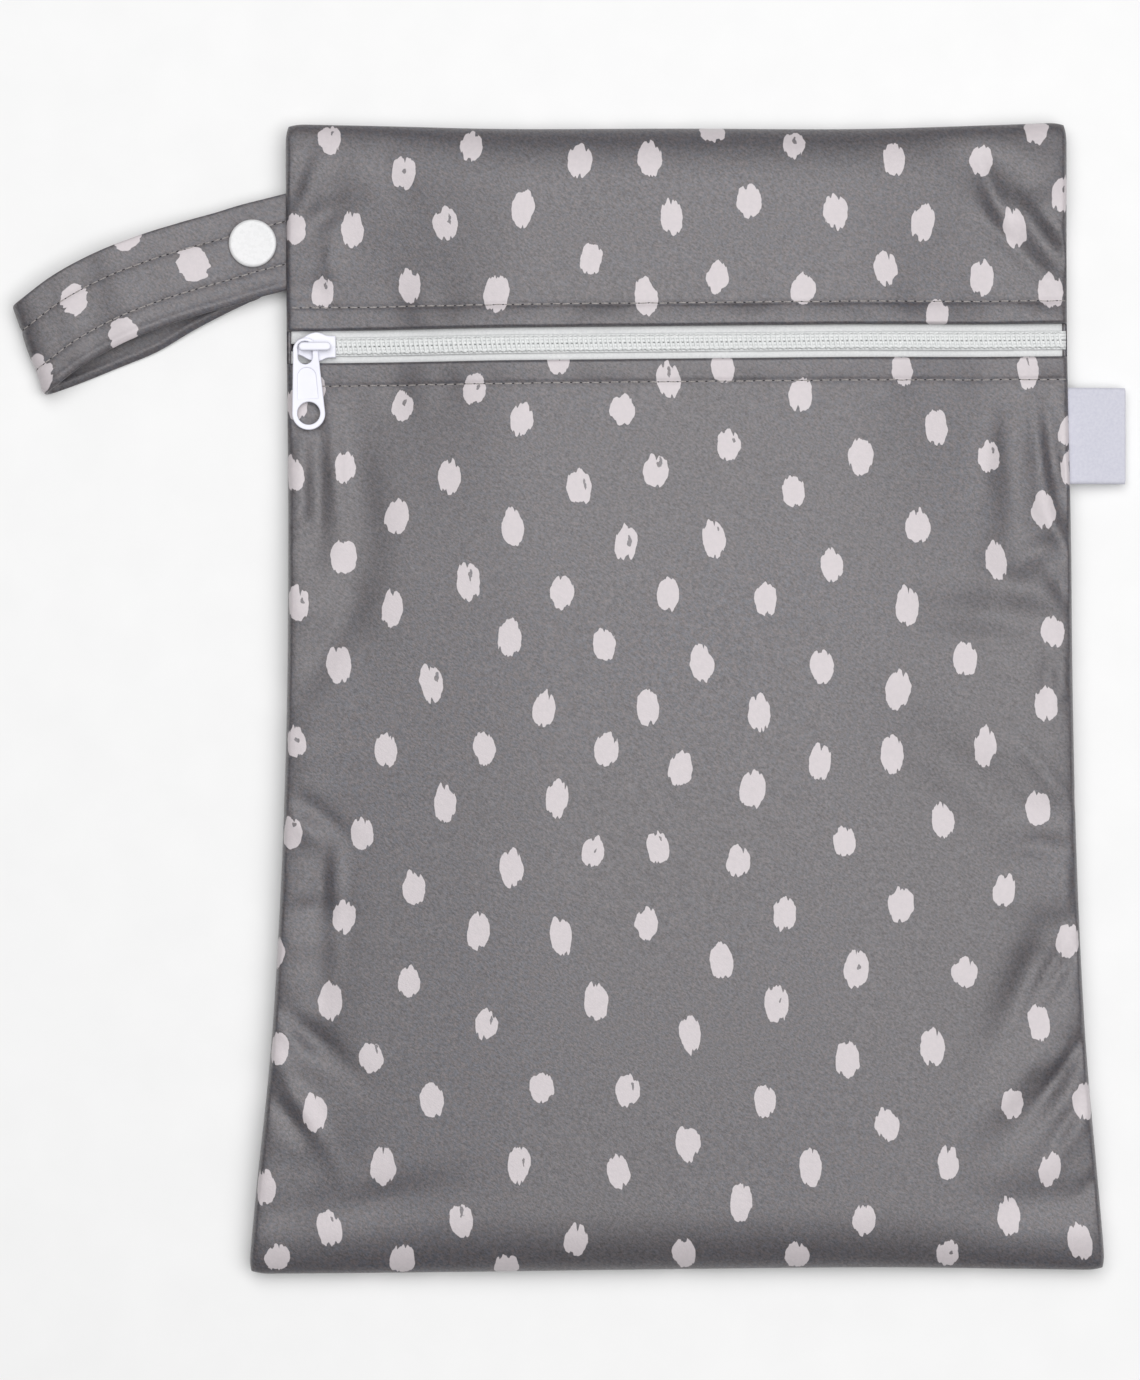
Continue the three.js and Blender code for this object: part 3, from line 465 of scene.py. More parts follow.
class Shader:
    """The nodes of one material, made by short calls."""

    def __init__(self, name):
        self.material = bpy.data.materials.new(name)
        self.material.use_nodes = True
        self.nodes = self.material.node_tree.nodes
        self.links = self.material.node_tree.links
        self.surface = self.nodes["Principled BSDF"]

    def feed(self, socket, value):
        if isinstance(value, bpy.types.NodeSocket):
            self.links.new(value, socket)
        elif value is not None:
            socket.default_value = value

    def make(self, kind, inputs, **settings):
        node = self.nodes.new(kind)
        for key, value in settings.items():
            setattr(node, key, value)
        for key, value in inputs.items():
            self.feed(node.inputs[key], value)
        return node

    def math(self, operation, a, b=None, c=None, clamp=False):
        inputs = {0: a, 1: b, 2: c}
        return self.make("ShaderNodeMath", inputs, operation=operation, use_clamp=clamp).outputs[0]

    def vector(self, operation, a, b=None):
        return self.make("ShaderNodeVectorMath", {0: a, 1: b}, operation=operation).outputs[0]

    def place(self):
        return self.make("ShaderNodeTexCoord", {}).outputs["Object"]

    def noise(self, scale, vector=None, detail=2.0, roughness=0.5):
        inputs = {"Vector": self.place() if vector is None else vector, "Scale": scale,
                  "Detail": detail, "Roughness": roughness}
        return self.make("ShaderNodeTexNoise", inputs).outputs["Fac"]

    def line_noise(self, place, scale, detail=2.0):
        inputs = {"W": place, "Scale": scale, "Detail": detail}
        return self.make("ShaderNodeTexNoise", inputs, noise_dimensions="1D").outputs["Fac"]

    def waves(self, scale, direction, distortion=0.0):
        inputs = {"Vector": self.place(), "Scale": scale, "Distortion": distortion, "Detail": 1.0}
        settings = dict(wave_type="BANDS", bands_direction=direction)
        return self.make("ShaderNodeTexWave", inputs, **settings).outputs["Fac"]

    def within(self, value, low, high, out_low=0.0, out_high=1.0):
        inputs = {"Value": value, "From Min": low, "From Max": high, "To Min": out_low, "To Max": out_high}
        return self.make("ShaderNodeMapRange", inputs).outputs[0]

    def mix(self, factor, a, b):
        node = self.nodes.new("ShaderNodeMix")
        node.data_type = "RGBA"
        for key, value in ((0, factor), (6, a), (7, b)):
            self.feed(node.inputs[key], value)
        return node.outputs[2]

    def split(self, vector):
        return self.make("ShaderNodeSeparateXYZ", {0: vector}).outputs

    def bump(self, height, strength, distance):
        inputs = {"Height": height, "Strength": strength, "Distance": distance * MM}
        return self.make("ShaderNodeBump", inputs).outputs[0]

    def finish(self, **inputs):
        for key, value in inputs.items():
            self.feed(self.surface.inputs[key.replace("_", " ")], value)
        return self.material


def shade(red, green, blue):
    """A colour given as it looks on a screen, from 0 to 255."""
    def linear(part):
        share = part / 255
        return share / 12.92 if share <= 0.04045 else ((share + 0.055) / 1.055) ** 2.4
    return (linear(red), linear(green), linear(blue), 1)


def drawn(s, seed, step, low, high):
    """A number between low and high that differs from spot to spot."""
    return s.within(s.math("FRACT", s.math("MULTIPLY", seed, step)), 0.0, 1.0, low, high)


def spot_mask(s):
    """Painted spots: 1 inside, from the "spot" attribute's local place and seed."""
    across, up, seed = s.split(s.make("ShaderNodeAttribute", {}, attribute_name="spot").outputs["Vector"])

    def peak(place, width, height):
        gap = s.math("DIVIDE", s.math("ABSOLUTE", s.math("SUBTRACT", across, place)), width)
        return s.math("MULTIPLY", s.within(gap, 0.0, 1.0, 1.0, 0.0), height)

    place = s.make("ShaderNodeCombineXYZ", {0: across, 1: up, 2: s.math("MULTIPLY", seed, 5.0)}).outputs[0]
    rough = s.within(s.noise(1.1, place, 2.5, 0.55), 0.25, 0.75, -0.3, 0.3)
    tip = drawn(s, seed, 1.37, -0.45, 0.3)
    nick = s.math("ADD", tip, drawn(s, seed, 2.91, 0.22, 0.5))
    nicked = peak(nick, drawn(s, seed, 4.43, 0.07, 0.16), drawn(s, seed, 3.33, 0.05, 0.28))
    top = s.math("SUBTRACT", nicked, peak(tip, 0.3, 0.14))
    foot = drawn(s, seed, 6.17, -0.25, 0.3)
    notched = peak(foot, drawn(s, seed, 2.63, 0.1, 0.22), drawn(s, seed, 7.79, 0.06, 0.22))
    base = s.math("SUBTRACT", notched, peak(foot, 0.5, 0.1))
    above = s.math("GREATER_THAN", up, 0.0)
    below = s.math("SUBTRACT", 1.0, above)
    ends = s.math("ADD", s.math("MULTIPLY", above, top), s.math("MULTIPLY", below, base))
    start = s.math("ADD", s.math("MULTIPLY", seed, 60.0), s.math("MULTIPLY", above, 9.0))
    bristles = s.line_noise(s.math("ADD", across, start), 1.7, 1.0)
    ends = s.math("ADD", ends, s.within(bristles, 0.52, 0.66, 0.0, 0.2))
    tall = s.math("MAXIMUM", s.math("ADD", s.math("ABSOLUTE", up), ends), 0.0)
    reach = s.math("ADD", s.math("POWER", s.math("ABSOLUTE", across), 2.5), s.math("POWER", tall, 2.1))
    body = s.within(s.math("ADD", reach, rough), 1.05, 0.97)
    return s.math("MULTIPLY", body, spot_holes(s, across, up, seed), clamp=True)


def spot_holes(s, across, up, seed):
    """0 inside the bare slit that some spots have in their upper right, 1 elsewhere."""
    place = s.make("ShaderNodeCombineXYZ", {0: across, 1: up, 2: seed}).outputs[0]
    waver = s.within(s.noise(2.0, place), 0.3, 0.7, -0.16, 0.16)
    gap = s.math("ADD", s.math("SUBTRACT", across, drawn(s, seed, 3.71, 0.0, 0.5)), waver)
    beside = s.math("DIVIDE", gap, 0.14)
    rise = s.math("SUBTRACT", up, drawn(s, seed, 5.33, 0.1, 0.6))
    above = s.math("DIVIDE", rise, drawn(s, seed, 2.17, 0.12, 0.36))
    far = s.math("ADD", s.math("POWER", beside, 2.0), s.math("POWER", above, 2.0))
    bare = s.within(far, 1.15, 0.85)
    some = s.math("LESS_THAN", s.math("FRACT", s.math("MULTIPLY", seed, 7.13)), 0.2)
    return s.math("SUBTRACT", 1.0, s.math("MULTIPLY", s.math("MULTIPLY", bare, some), 0.85))


def cloth_material():
    s = Shader("spotted_cloth")
    turned_place = {"Vector": s.place(), "Angle": 0.6}
    weft = s.make("ShaderNodeVectorRotate", turned_place, rotation_type="Z_AXIS").outputs[0]
    weft = s.vector("MULTIPLY", weft, (1.0, 1.7, 1.0))
    speckle = s.noise(1150, weft, 3.0, 0.75)
    tint = s.noise(900, detail=2.0, roughness=0.7)
    drift = s.noise(14, detail=2.0)
    grey = s.mix(s.within(tint, 0.35, 0.65), shade(86, 79, 80), shade(72, 75, 84))
    grey = s.mix(s.within(drift, 0.3, 0.7, 0.0, 0.6), grey, shade(81, 78, 80))
    depth = s.within(speckle, 0.25, 0.75, 0.25, 1.75)
    depths = s.make("ShaderNodeCombineXYZ", {0: depth, 1: depth, 2: depth}).outputs[0]
    grey = s.vector("MULTIPLY", grey, depths)
    pale = s.mix(s.within(tint, 0.3, 0.7), shade(201, 193, 196), shade(194, 187, 190))
    weave = s.math("ADD", s.waves(1500, "X", 1.0), s.waves(1500, "Y", 1.0))
    height = s.math("ADD", weave, s.math("MULTIPLY", speckle, 5.0))
    color = s.mix(spot_mask(s), grey, pale)
    return s.finish(Base_Color=color, Roughness=s.within(speckle, 0.3, 0.7, 0.45, 0.35),
                    Specular_IOR_Level=0.95, Specular_Tint=(1.0, 0.97, 0.98, 1), Sheen_Weight=0.02,
                    Sheen_Roughness=0.4, Normal=s.bump(height, 0.34, 0.04))


def tape_material():
    s = Shader("zip_tape")
    height = s.math("ADD", s.waves(1100, "X", 0.5), s.waves(900, "Y", 0.5))
    fibre = s.noise(1800, detail=2.0)
    color = s.mix(s.within(fibre, 0.3, 0.7), shade(214, 215, 216), shade(225, 226, 226))
    return s.finish(Base_Color=color, Roughness=0.8, Sheen_Weight=0.3, Normal=s.bump(height, 0.4, 0.08))


def coil_material():
    s = Shader("zip_coil")
    fibre = s.noise(900, detail=1.0)
    color = s.mix(s.within(fibre, 0.3, 0.7), shade(215, 217, 217), shade(226, 227, 227))
    return s.finish(Base_Color=color, Roughness=s.within(fibre, 0.3, 0.7, 0.3, 0.42),
                    Normal=s.bump(fibre, 0.1, 0.05))


def painted_material():
    s = Shader("zip_metal")
    grain = s.noise(1400, detail=2.0)
    broad = s.noise(160, detail=2.0)
    color = s.mix(s.within(broad, 0.3, 0.7), shade(227, 227, 238), shade(233, 233, 243))
    return s.finish(Base_Color=color, Roughness=s.within(grain, 0.3, 0.7, 0.3, 0.4), Coat_Weight=0.25,
                    Coat_Roughness=0.2, Normal=s.bump(grain, 0.05, 0.03))


def snap_material():
    s = Shader("snap_plastic")
    grain = s.noise(700, detail=2.0)
    color = s.mix(s.within(grain, 0.3, 0.7), shade(217, 217, 218), shade(223, 223, 224))
    return s.finish(Base_Color=color, Roughness=s.within(grain, 0.3, 0.7, 0.24, 0.32), Coat_Weight=0.3,
                    Coat_Roughness=0.12, Normal=s.bump(grain, 0.04, 0.04))


def label_material():
    s = Shader("label_tape")
    ribs = s.math("ADD", s.waves(1250, "Y", 0.4), s.waves(2500, "X", 0.4))
    fibre = s.noise(1500, detail=2.0)
    color = s.mix(s.within(fibre, 0.3, 0.7), shade(199, 199, 212), shade(208, 208, 219))
    return s.finish(Base_Color=color, Roughness=0.75, Sheen_Weight=0.2, Normal=s.bump(ribs, 0.3, 0.06))


def thread_material():
    s = Shader("thread")
    twist = s.noise(2600, detail=2.0)
    color = s.mix(s.within(twist, 0.35, 0.65), shade(136, 131, 129), shade(176, 170, 167))
    return s.finish(Base_Color=color, Roughness=0.6, Normal=s.bump(twist, 0.4, 0.05))


# Painted shade: a near-black colour for the shade inside the needle holes
def hole_shade_material():
    s = Shader("needle_hole_shade")
    fibre = s.noise(1500, detail=1.0)
    color = s.mix(s.within(fibre, 0.3, 0.7), shade(38, 36, 39), shade(52, 49, 52))
    return s.finish(Base_Color=color, Roughness=0.9, Specular_IOR_Level=0.1)


CLOTH_LOOK = cloth_material()
TAPE_LOOK = tape_material()
COIL_LOOK = coil_material()
PAINT_LOOK = painted_material()
SNAP_LOOK = snap_material()
LABEL_LOOK = label_material()
THREAD_LOOK = thread_material()
HOLE_SHADE_LOOK = hole_shade_material()


# The printed spots

def spot_rows(places, seed, size=SPOT):
    """Spots at places on the cloth, with a size, slant and seed for each."""
    draw = random.Random(seed)
    rows = []
    for u, v in places:
        wide = size["wide"] / 2 * draw.uniform(0.88, 1.07)
        tall = size["tall"] / 2 * draw.uniform(0.84, 1.1)
        rows.append((u, v, wide, tall, math.radians(draw.uniform(-8, 8)), draw.uniform(1, 90)))
    return np.array(rows)


def print_spots(piece, corner_uv, spots):
    """Gives each face corner its place in the nearest spot, and that spot's seed."""
    faces = corner_uv.mean(axis=1)
    nearest = np.zeros(len(faces), dtype=int)
    best = np.full(len(faces), np.inf)
    for i, spot in enumerate(spots):
        distance = np.hypot(faces[:, 0] - spot[0], (faces[:, 1] - spot[1]) * SPOT["wide"] / SPOT["tall"])
        closer = distance < best
        best[closer] = distance[closer]
        nearest[closer] = i
    chosen = spots[nearest][:, None, :]
    u, v = corner_uv[..., 0] - chosen[..., 0], corner_uv[..., 1] - chosen[..., 1]
    cosine, sine = np.cos(chosen[..., 4]), np.sin(chosen[..., 4])
    beside = (u * cosine + v * sine) / chosen[..., 2]
    along = (v * cosine - u * sine) / chosen[..., 3]
    store_spots(piece, np.stack([beside, along, np.broadcast_to(chosen[..., 5], u.shape)], -1))


def store_spots(piece, local):
    attribute = piece.data.attributes.new("spot", "FLOAT_VECTOR", "CORNER")
    attribute.data.foreach_set("vector", local.ravel())


def arc_lengths(grid, axis):
    steps = np.linalg.norm(np.diff(grid, axis=axis), axis=-1)
    zero = np.zeros_like(np.take(steps, [0], axis=axis))
    return np.concatenate([zero, np.cumsum(steps, axis=axis)], axis=axis)


def cloth_places(grid):
    """Places on the flat cloth of a grid of points, measured along the cloth from its middle."""
    u, v = arc_lengths(grid, 0), arc_lengths(grid, 1)
    column, row = grid.shape[0] // 2, grid.shape[1] // 2
    sense = np.sign(grid[column, -1, 1] - grid[column, 0, 1])
    u = u - u[column] + grid[column, :, 0]
    v = sense * (v - v[:, [row]]) + grid[:, [row], 1]
    return np.stack([u, v], -1)


def on_cloth(grid, flat, places):
    """Places seen from above, as places on the flat cloth."""
    plan = grid[..., :2].reshape(-1, 2)
    cloth = flat.reshape(-1, 2)
    found = []
    for place in places:
        gaps = plan - place
        nearest = int(np.argmin((gaps ** 2).sum(-1)))
        found.append(cloth[nearest] - gaps[nearest])
    return found


def cloth_shell(name, outer, inner, spots):
    points, faces = shell(outer, inner)
    flat = cloth_places(outer)
    piece = make_object(name, points, faces, CLOTH_LOOK)
    order = mesh_numbers(piece.data.loops, "vertex_index")
    both = np.concatenate([flat.reshape(-1, 2), flat.reshape(-1, 2)])
    print_spots(piece, both[order].reshape(-1, 4, 2), spots(outer, flat))
    return piece


# The panels

CELL = dict(front=1.3, hem=0.45, hem_band=10, back=2.2)
ROLL_PLACES = -1 + round_places(7) * SIDE["roll"] / HALF_WIDTH
LEFT_PLACES = joined(ROLL_PLACES, even(ROLL_PLACES[-1], 0, CELL["front"] / HALF_WIDTH))
ACROSS = joined(LEFT_PLACES, -LEFT_PLACES[::-1])[:, None]


def front_spots(outer, flat):
    places = on_cloth(outer, flat, [from_photo(*spot) for spot in SPOTS])
    return spot_rows(places, SEED["front_spots"])


def panel_places(depth):
    """Shares of a front panel's depth from its hem to its outer edge."""
    hem = even(0, CELL["hem_band"], CELL["hem"]) / depth
    edge = 1 - (round_places(13) * BAG["shoulder"] / depth)[::-1]
    return joined(hem, even(hem[-1], edge[0], CELL["front"] / depth), edge)[None, :]


def front_panel(name, end, side, depth):
    places = panel_places(depth)

    def grid(inset):
        hem = hem_y(ACROSS, side)
        y = hem + (end_y(end, ACROSS, inset) - hem) * places
        return front_points(ACROSS, y, (1 - places) * depth, places * depth, inset, side)

    return cloth_shell(name, grid(0), grid(CLOTH["wall"]), front_spots)


def back_points(across, place, inset):
    y = end_y("base", across, inset) * (1 - place) + end_y("top", across, inset) * place
    side_gap = HALF_WIDTH * (1 - np.abs(across))
    end_gap = BAG["height"] * np.minimum(place, 1 - place)
    round_edge = swell(side_gap, BAG["roll"]) * swell(end_gap, BAG["roll"])
    x, y = round_corner(edge_x(across, y, inset), y, across, side_gap, end_gap)
    return np.stack([x, y, RIM_BASE - (RIM_BASE - inset) * round_edge], -1)


def back_spots(outer, flat):
    """Spots scattered in rows over the whole cloth, as on the front."""
    draw = random.Random(SEED["back_places"])
    stray = SPOT["stray"]
    places = []
    rows = int(BAG["height"] / (SPOT["spacing"] * SPOT["rows"])) + 2
    columns = int(BAG["width"] / SPOT["spacing"]) + 4
    for row in range(rows):
        for column in range(columns):
            u = (column - columns / 2 + 0.5 * (row % 2)) * SPOT["spacing"] + draw.uniform(-stray, stray)
            v = (row - rows / 2 + 0.5) * SPOT["spacing"] * SPOT["rows"] + draw.uniform(-stray, stray)
            places.append((u, v))
    return spot_rows(places, SEED["back_spots"])


def back_panel():
    edge = -1 + round_places(8) * BAG["roll"] / HALF_WIDTH
    left = joined(edge, even(edge[-1], 0, CELL["back"] / HALF_WIDTH))
    across = joined(left, -left[::-1])[:, None]
    low = round_places(8) * BAG["roll"] / BAG["height"]
    half = joined(low, even(low[-1], 0.5, CELL["back"] / BAG["height"]))
    places = joined(half, 1 - half[::-1])[None, :]
    outer, inner = (back_points(across, places, inset) for inset in (0, CLOTH["wall"]))
    return cloth_shell("back_cloth", outer, inner, back_spots)


# The strap

def strap_stops():
    """Stops of the strap's middle from its tucked end, and the slant of its width at each."""
    ground = STRAP["wall"] / 2
    upper = RIM_BASE - STRAP["wall"] / 2
    seat = SNAP["back"] + CLOTH["play"] + STRAP["wall"] / 2
    rows = STRAP_ROUTE
    height = ground + rows["upper"] * (upper - ground) + rows["seat"] * (seat - ground)
    height = height + rows["fold"] * STRAP["fold"]
    out, down = rows["out"] * STRAP["reach"], rows["down"] * STRAP["drop"]
    stops = np.stack([SEAM_LEFT - out, STRAP_Y - down, height], -1)
    slope = (down[1] - down[0]) / (out[1] - out[0])
    tucked = stops[0] + [STRAP["tuck"], STRAP["tuck"] * slope, 0]
    return np.concatenate([[tucked], stops]), np.concatenate([rows["turn"][:1], rows["turn"]])


def route_points(stops, places):
    """Points of a smooth curve through stops, with places counted in stops."""
    padded = np.concatenate([[2 * stops[0] - stops[1]], stops, [2 * stops[-1] - stops[-2]]])
    low = np.minimum(places.astype(int), len(stops) - 2)
    t = (places - low)[:, None]
    p0, p1, p2, p3 = (padded[low + k] for k in range(4))
    d0, d1, d2 = (np.sqrt(np.linalg.norm(b - a, axis=1))[:, None] for a, b in ((p0, p1), (p1, p2), (p2, p3)))
    m1 = ((p1 - p0) / d0 - (p2 - p0) / (d0 + d1) + (p2 - p1) / d1) * d1
    m2 = ((p2 - p1) / d1 - (p3 - p1) / (d1 + d2) + (p3 - p2) / d2) * d1
    bend = (2 * t ** 3 - 3 * t ** 2 + 1) * p1 + (t ** 3 - 2 * t ** 2 + t) * m1
    return bend + (3 * t ** 2 - 2 * t ** 3) * p2 + (t ** 3 - t ** 2) * m2


def strap_frames():
    """Centres, width directions, normals, half widths and lengths along the strap, with its round end."""
    stops, turns = strap_stops()
    places = np.linspace(0, len(stops) - 1, STRAP_CELLS["route"])
    centres = route_points(stops, places)
    centres[:, 2] = np.maximum(centres[:, 2], STRAP["wall"] / 2)
    turn = np.radians(np.interp(places, np.arange(len(stops)), turns))
    across = np.stack([np.sin(turn), -np.cos(turn), np.zeros_like(turn)], -1)
    tangents = unit(np.gradient(centres, axis=0))
    normals = unit(np.cross(tangents, across))
    forward = unit(np.cross(across[-1], normals[-1]))
    forward = forward * np.sign(forward @ tangents[-1])
    radius = STRAP["width"] / 2
    angles = np.radians(np.arange(6, 90, 7))
    centres = np.concatenate([centres, centres[-1] + forward * radius * np.sin(angles)[:, None]])
    across, normals = (np.concatenate([part, np.repeat(part[-1:], len(angles), axis=0)])
                       for part in (across, normals))
    half = np.concatenate([np.full(STRAP_CELLS["route"], radius), radius * np.cos(angles)])
    lengths = np.concatenate([[0], np.cumsum(np.linalg.norm(np.diff(centres, axis=0), axis=1))])
    return centres, across, normals, half, lengths


STRAP_CELLS = dict(route=340, upper=190, sewn=330)
STRAP_ROWS = dict(upper=-5.2, lower=5.6)
STRAP_ARCH = dict(start=90, end=140, high=0.9)
STRAP_PUCKER = dict(start=24, full=40, end=74, fade=8, high=0.22, length=15)
STRAP_RELIEF = dict(edge=1.1, groove=0.28, pinch=0.55, hem=0.35, hem_in=1.6, hem_wide=0.8, puff=0.25,
                    puff_wide=3.2, rim=0.25, least=0.12)
STRAP_FRAMES = strap_frames()


def strap_lift(length, beside, half):
    """Height added over the strap's flat run: an arch in its lower layer and puckers in its upper one."""
    share = np.clip((length - STRAP_ARCH["start"]) / (STRAP_ARCH["end"] - STRAP_ARCH["start"]), 0, 1)
    arch = STRAP_ARCH["high"] * np.sin(share * math.pi) * (1 - (beside / half) ** 2)
    begun = smooth((length - STRAP_PUCKER["start"]) / (STRAP_PUCKER["full"] - STRAP_PUCKER["start"]))
    left = smooth((STRAP_PUCKER["end"] - length) / STRAP_PUCKER["fade"])
    waves = ripple(length, beside * 0.8, STRAP_PUCKER["length"], SEED["strap"], WAVE_FAN)
    return arch + STRAP_PUCKER["high"] * begun * left * waves


def strap_thickness(beside, half):
    """Half thickness of the strap: full between its rows of stitches, pinched at them, round at its edges."""
    wall, relief = STRAP["wall"] / 2, STRAP_RELIEF
    edge = swell(half - np.abs(beside), relief["edge"])
    pinched = sum(np.exp(-((beside - row) / relief["pinch"]) ** 2) for row in STRAP_ROWS.values())
    hem = relief["hem"] * np.exp(-((half - beside - relief["hem_in"]) / relief["hem_wide"]) ** 2)
    puff = relief["puff"] * np.exp(-(beside / relief["puff_wide"]) ** 2)
    full = wall * (relief["rim"] + (1 - relief["rim"]) * edge)
    return np.maximum(full + (hem + puff - relief["groove"] * pinched) * edge, relief["least"])


def strap_shares():
    """Places across the strap as shares of half its width, closer at its edges and rows of stitches."""
    seams = [(row + step) * 2 / STRAP["width"] for row in STRAP_ROWS.values() for step in (-0.5, 0, 0.5)]
    return np.sort(np.concatenate([np.sin(np.linspace(-math.pi / 2, math.pi / 2, 37)), seams]))


STRAP_SHARES = strap_shares()


def strap_piece():
    centres, across, normals, half, lengths = STRAP_FRAMES
    beside = STRAP_SHARES[None, :] * half[:, None]
    thick = strap_thickness(beside, half[:, None])
    middle = centres[:, None, :] + across[:, None, :] * beside[..., None]
    middle[..., 2] += strap_lift(lengths[:, None], beside, half[:, None])
    lift = normals[:, None, :] * thick[..., None]
    rings = np.concatenate([middle + lift, (middle - lift)[:, ::-1]], axis=1)
    return make_object("strap_cloth", *rings_solid(rings), CLOTH_LOOK)


# Scattered spots of the strap: where they start and end along it, their step, and their reach across
STRAP_INNER = 400
STRAP_SCATTER = ((100, 160, 15, -9, 9), (STRAP_INNER + 6, STRAP_INNER + 170, 14, -9, 2))
STRAP_STRAY = 3


def strap_spots():
    """Spots across and along the strap, with its inner face counted on from STRAP_INNER."""
    centres, across, _, _, lengths = STRAP_FRAMES
    places = []
    for spot in STRAP_SPOTS:
        plan = from_photo(*spot)
        i = int(np.argmin(np.linalg.norm(centres[:STRAP_CELLS["upper"], :2] - plan, axis=1)))
        places.append(((plan - centres[i, :2]) @ across[i, :2], lengths[i]))
    draw = random.Random(SEED["strap_places"])
    for start, end, step, left, right in STRAP_SCATTER:
        for place in np.arange(start, end, step):
            places.append((draw.uniform(left, right), place + draw.uniform(-STRAP_STRAY, STRAP_STRAY)))
    return spot_rows(places, SEED["strap_spots"], STRAP_SPOT)


def strap_print(piece):
    """The same spots on the strap, lying on their sides along it."""
    corners = mesh_numbers(piece.data.loops, "vertex_index")
    shares = np.concatenate([STRAP_SHARES, STRAP_SHARES[::-1]])
    ring, slot = corners // len(shares), corners % len(shares)
    half, lengths = STRAP_FRAMES[3:]
    u = shares[slot] * half[ring]
    v = lengths[ring] + np.where(slot < len(STRAP_SHARES), 0, STRAP_INNER)
    spots = strap_spots()
    local = np.zeros((len(corners), 3))
    starts, sizes = (mesh_numbers(piece.data.polygons, key) for key in ("loop_start", "loop_total"))
    for start, size in zip(starts, sizes):
        place = slice(start, start + size)
        near = spots[np.argmin(np.hypot(spots[:, 0] - u[place].mean(), spots[:, 1] - v[place].mean()))]
        local[place, 0] = (u[place] - near[0]) / near[2]
        local[place, 1] = (v[place] - near[1]) / near[3]
        local[place, 2] = near[5]
    store_spots(piece, local)


# The zip

TAPE_TOP = RIM_BASE
TAPE_RELIEF = dict(wave=5, high=0.05, curl=0.8, curl_reach=3.5, curl_turn=2.1)

# A tooth of the coil, and the stitch over every second one: places from the middle of the zip, or
# along and beside that of the stitch, then heights over the tape and radii
TOOTH = ((1.95, 0.3, 0.22), (1.9, 0.62, 0.3), (1.4, 0.84, 0.34), (0.7, 0.88, 0.36), (0.15, 0.82, 0.38),
         (-0.25, 0.68, 0.36), (-0.42, 0.45, 0.26))
TOOTH_LEAN = 0.28
TOOTH_STITCH = ((-0.75, -1, -0.3, 0.13), (-0.35, 0, 0.12, 0.19), (0.35, 1, 0.12, 0.19), (0.75, 0, -0.3, 0.13))
STITCH_PLACE = dict(beside=1.72, sway=0.1, up=0.92)

# Cords that fill the coil: places from the middle of the zip, heights and radii
COIL_CORDS = ((0.5, 0.5, 0.46), (1.35, 0.54, 0.5), (2.1, 0.12, 0.34))


def zip_split(across):
    """Half the gap between the two tapes, which stand apart left of the slider's middle."""
    start, end = ((SLIDER_LEFT + share * SLIDER["length"]) / HALF_WIDTH for share in (0.25, 0.5))
    share = np.clip((across - start) / (end - start), 0, 1)
    return (TAPE["split"] * (1 - share) + CLOTH["play"] * share) / 2


def zip_height(across):
    return TAPE_TOP + zip_rise(across) - zip_rise(np.array(-1.0))


def zip_tape(name, side):
    across = even(-1, 1, 1.0 / HALF_WIDTH)
    x = edge_x(across, zip_y(0) + across * 0, TAPE["end"])
    split = zip_split(across)
    outer = ZIP["opening"] / 2 + TAPE["tuck"]
    shares = np.linspace(0, 1, 13)
    beside = split[:, None] + (outer - split[:, None]) * shares
    relief, reach = TAPE_RELIEF, TAPE_RELIEF["curl_reach"]
    lift = relief["high"] * ripple(x[:, None], beside, relief["wave"], SEED["tape"])
    near_end = smooth((reach - (x - x[0])) / reach)[:, None]
    curl = relief["curl"] * near_end * np.sin(beside * relief["curl_turn"]) ** 2
    y = zip_y(x)[:, None] + side * beside
    z = zip_height(across)[:, None] + np.zeros_like(beside)
    top = np.stack([np.broadcast_to(x[:, None], y.shape), y, z + lift * 0.5 + curl - relief["high"]], -1)
    base = top - [0, 0, TAPE["wall"] * 0.8]
    rings = np.concatenate([top, base[:, ::-1]], axis=1)
    return make_object(name, *rings_solid(rings), TAPE_LOOK)


def tube(path, radii, sides=8):
    """A round bar along a path, with a radius at each of its points."""
    path = np.asarray(path, dtype=float)
    tangents = unit(np.gradient(path, axis=0))
    helper = np.array([0, 0, 1.0]) if abs(tangents[0][2]) < 0.9 else np.array([1.0, 0, 0])
    side = unit(np.cross(tangents, helper))
    up = np.cross(side, tangents)
    angles = np.linspace(0, 2 * math.pi, sides, endpoint=False)
    circle = np.cos(angles)[None, :, None] * side[:, None] + np.sin(angles)[None, :, None] * up[:, None]
    return rings_solid(path[:, None] + circle * np.asarray(radii)[:, None, None])


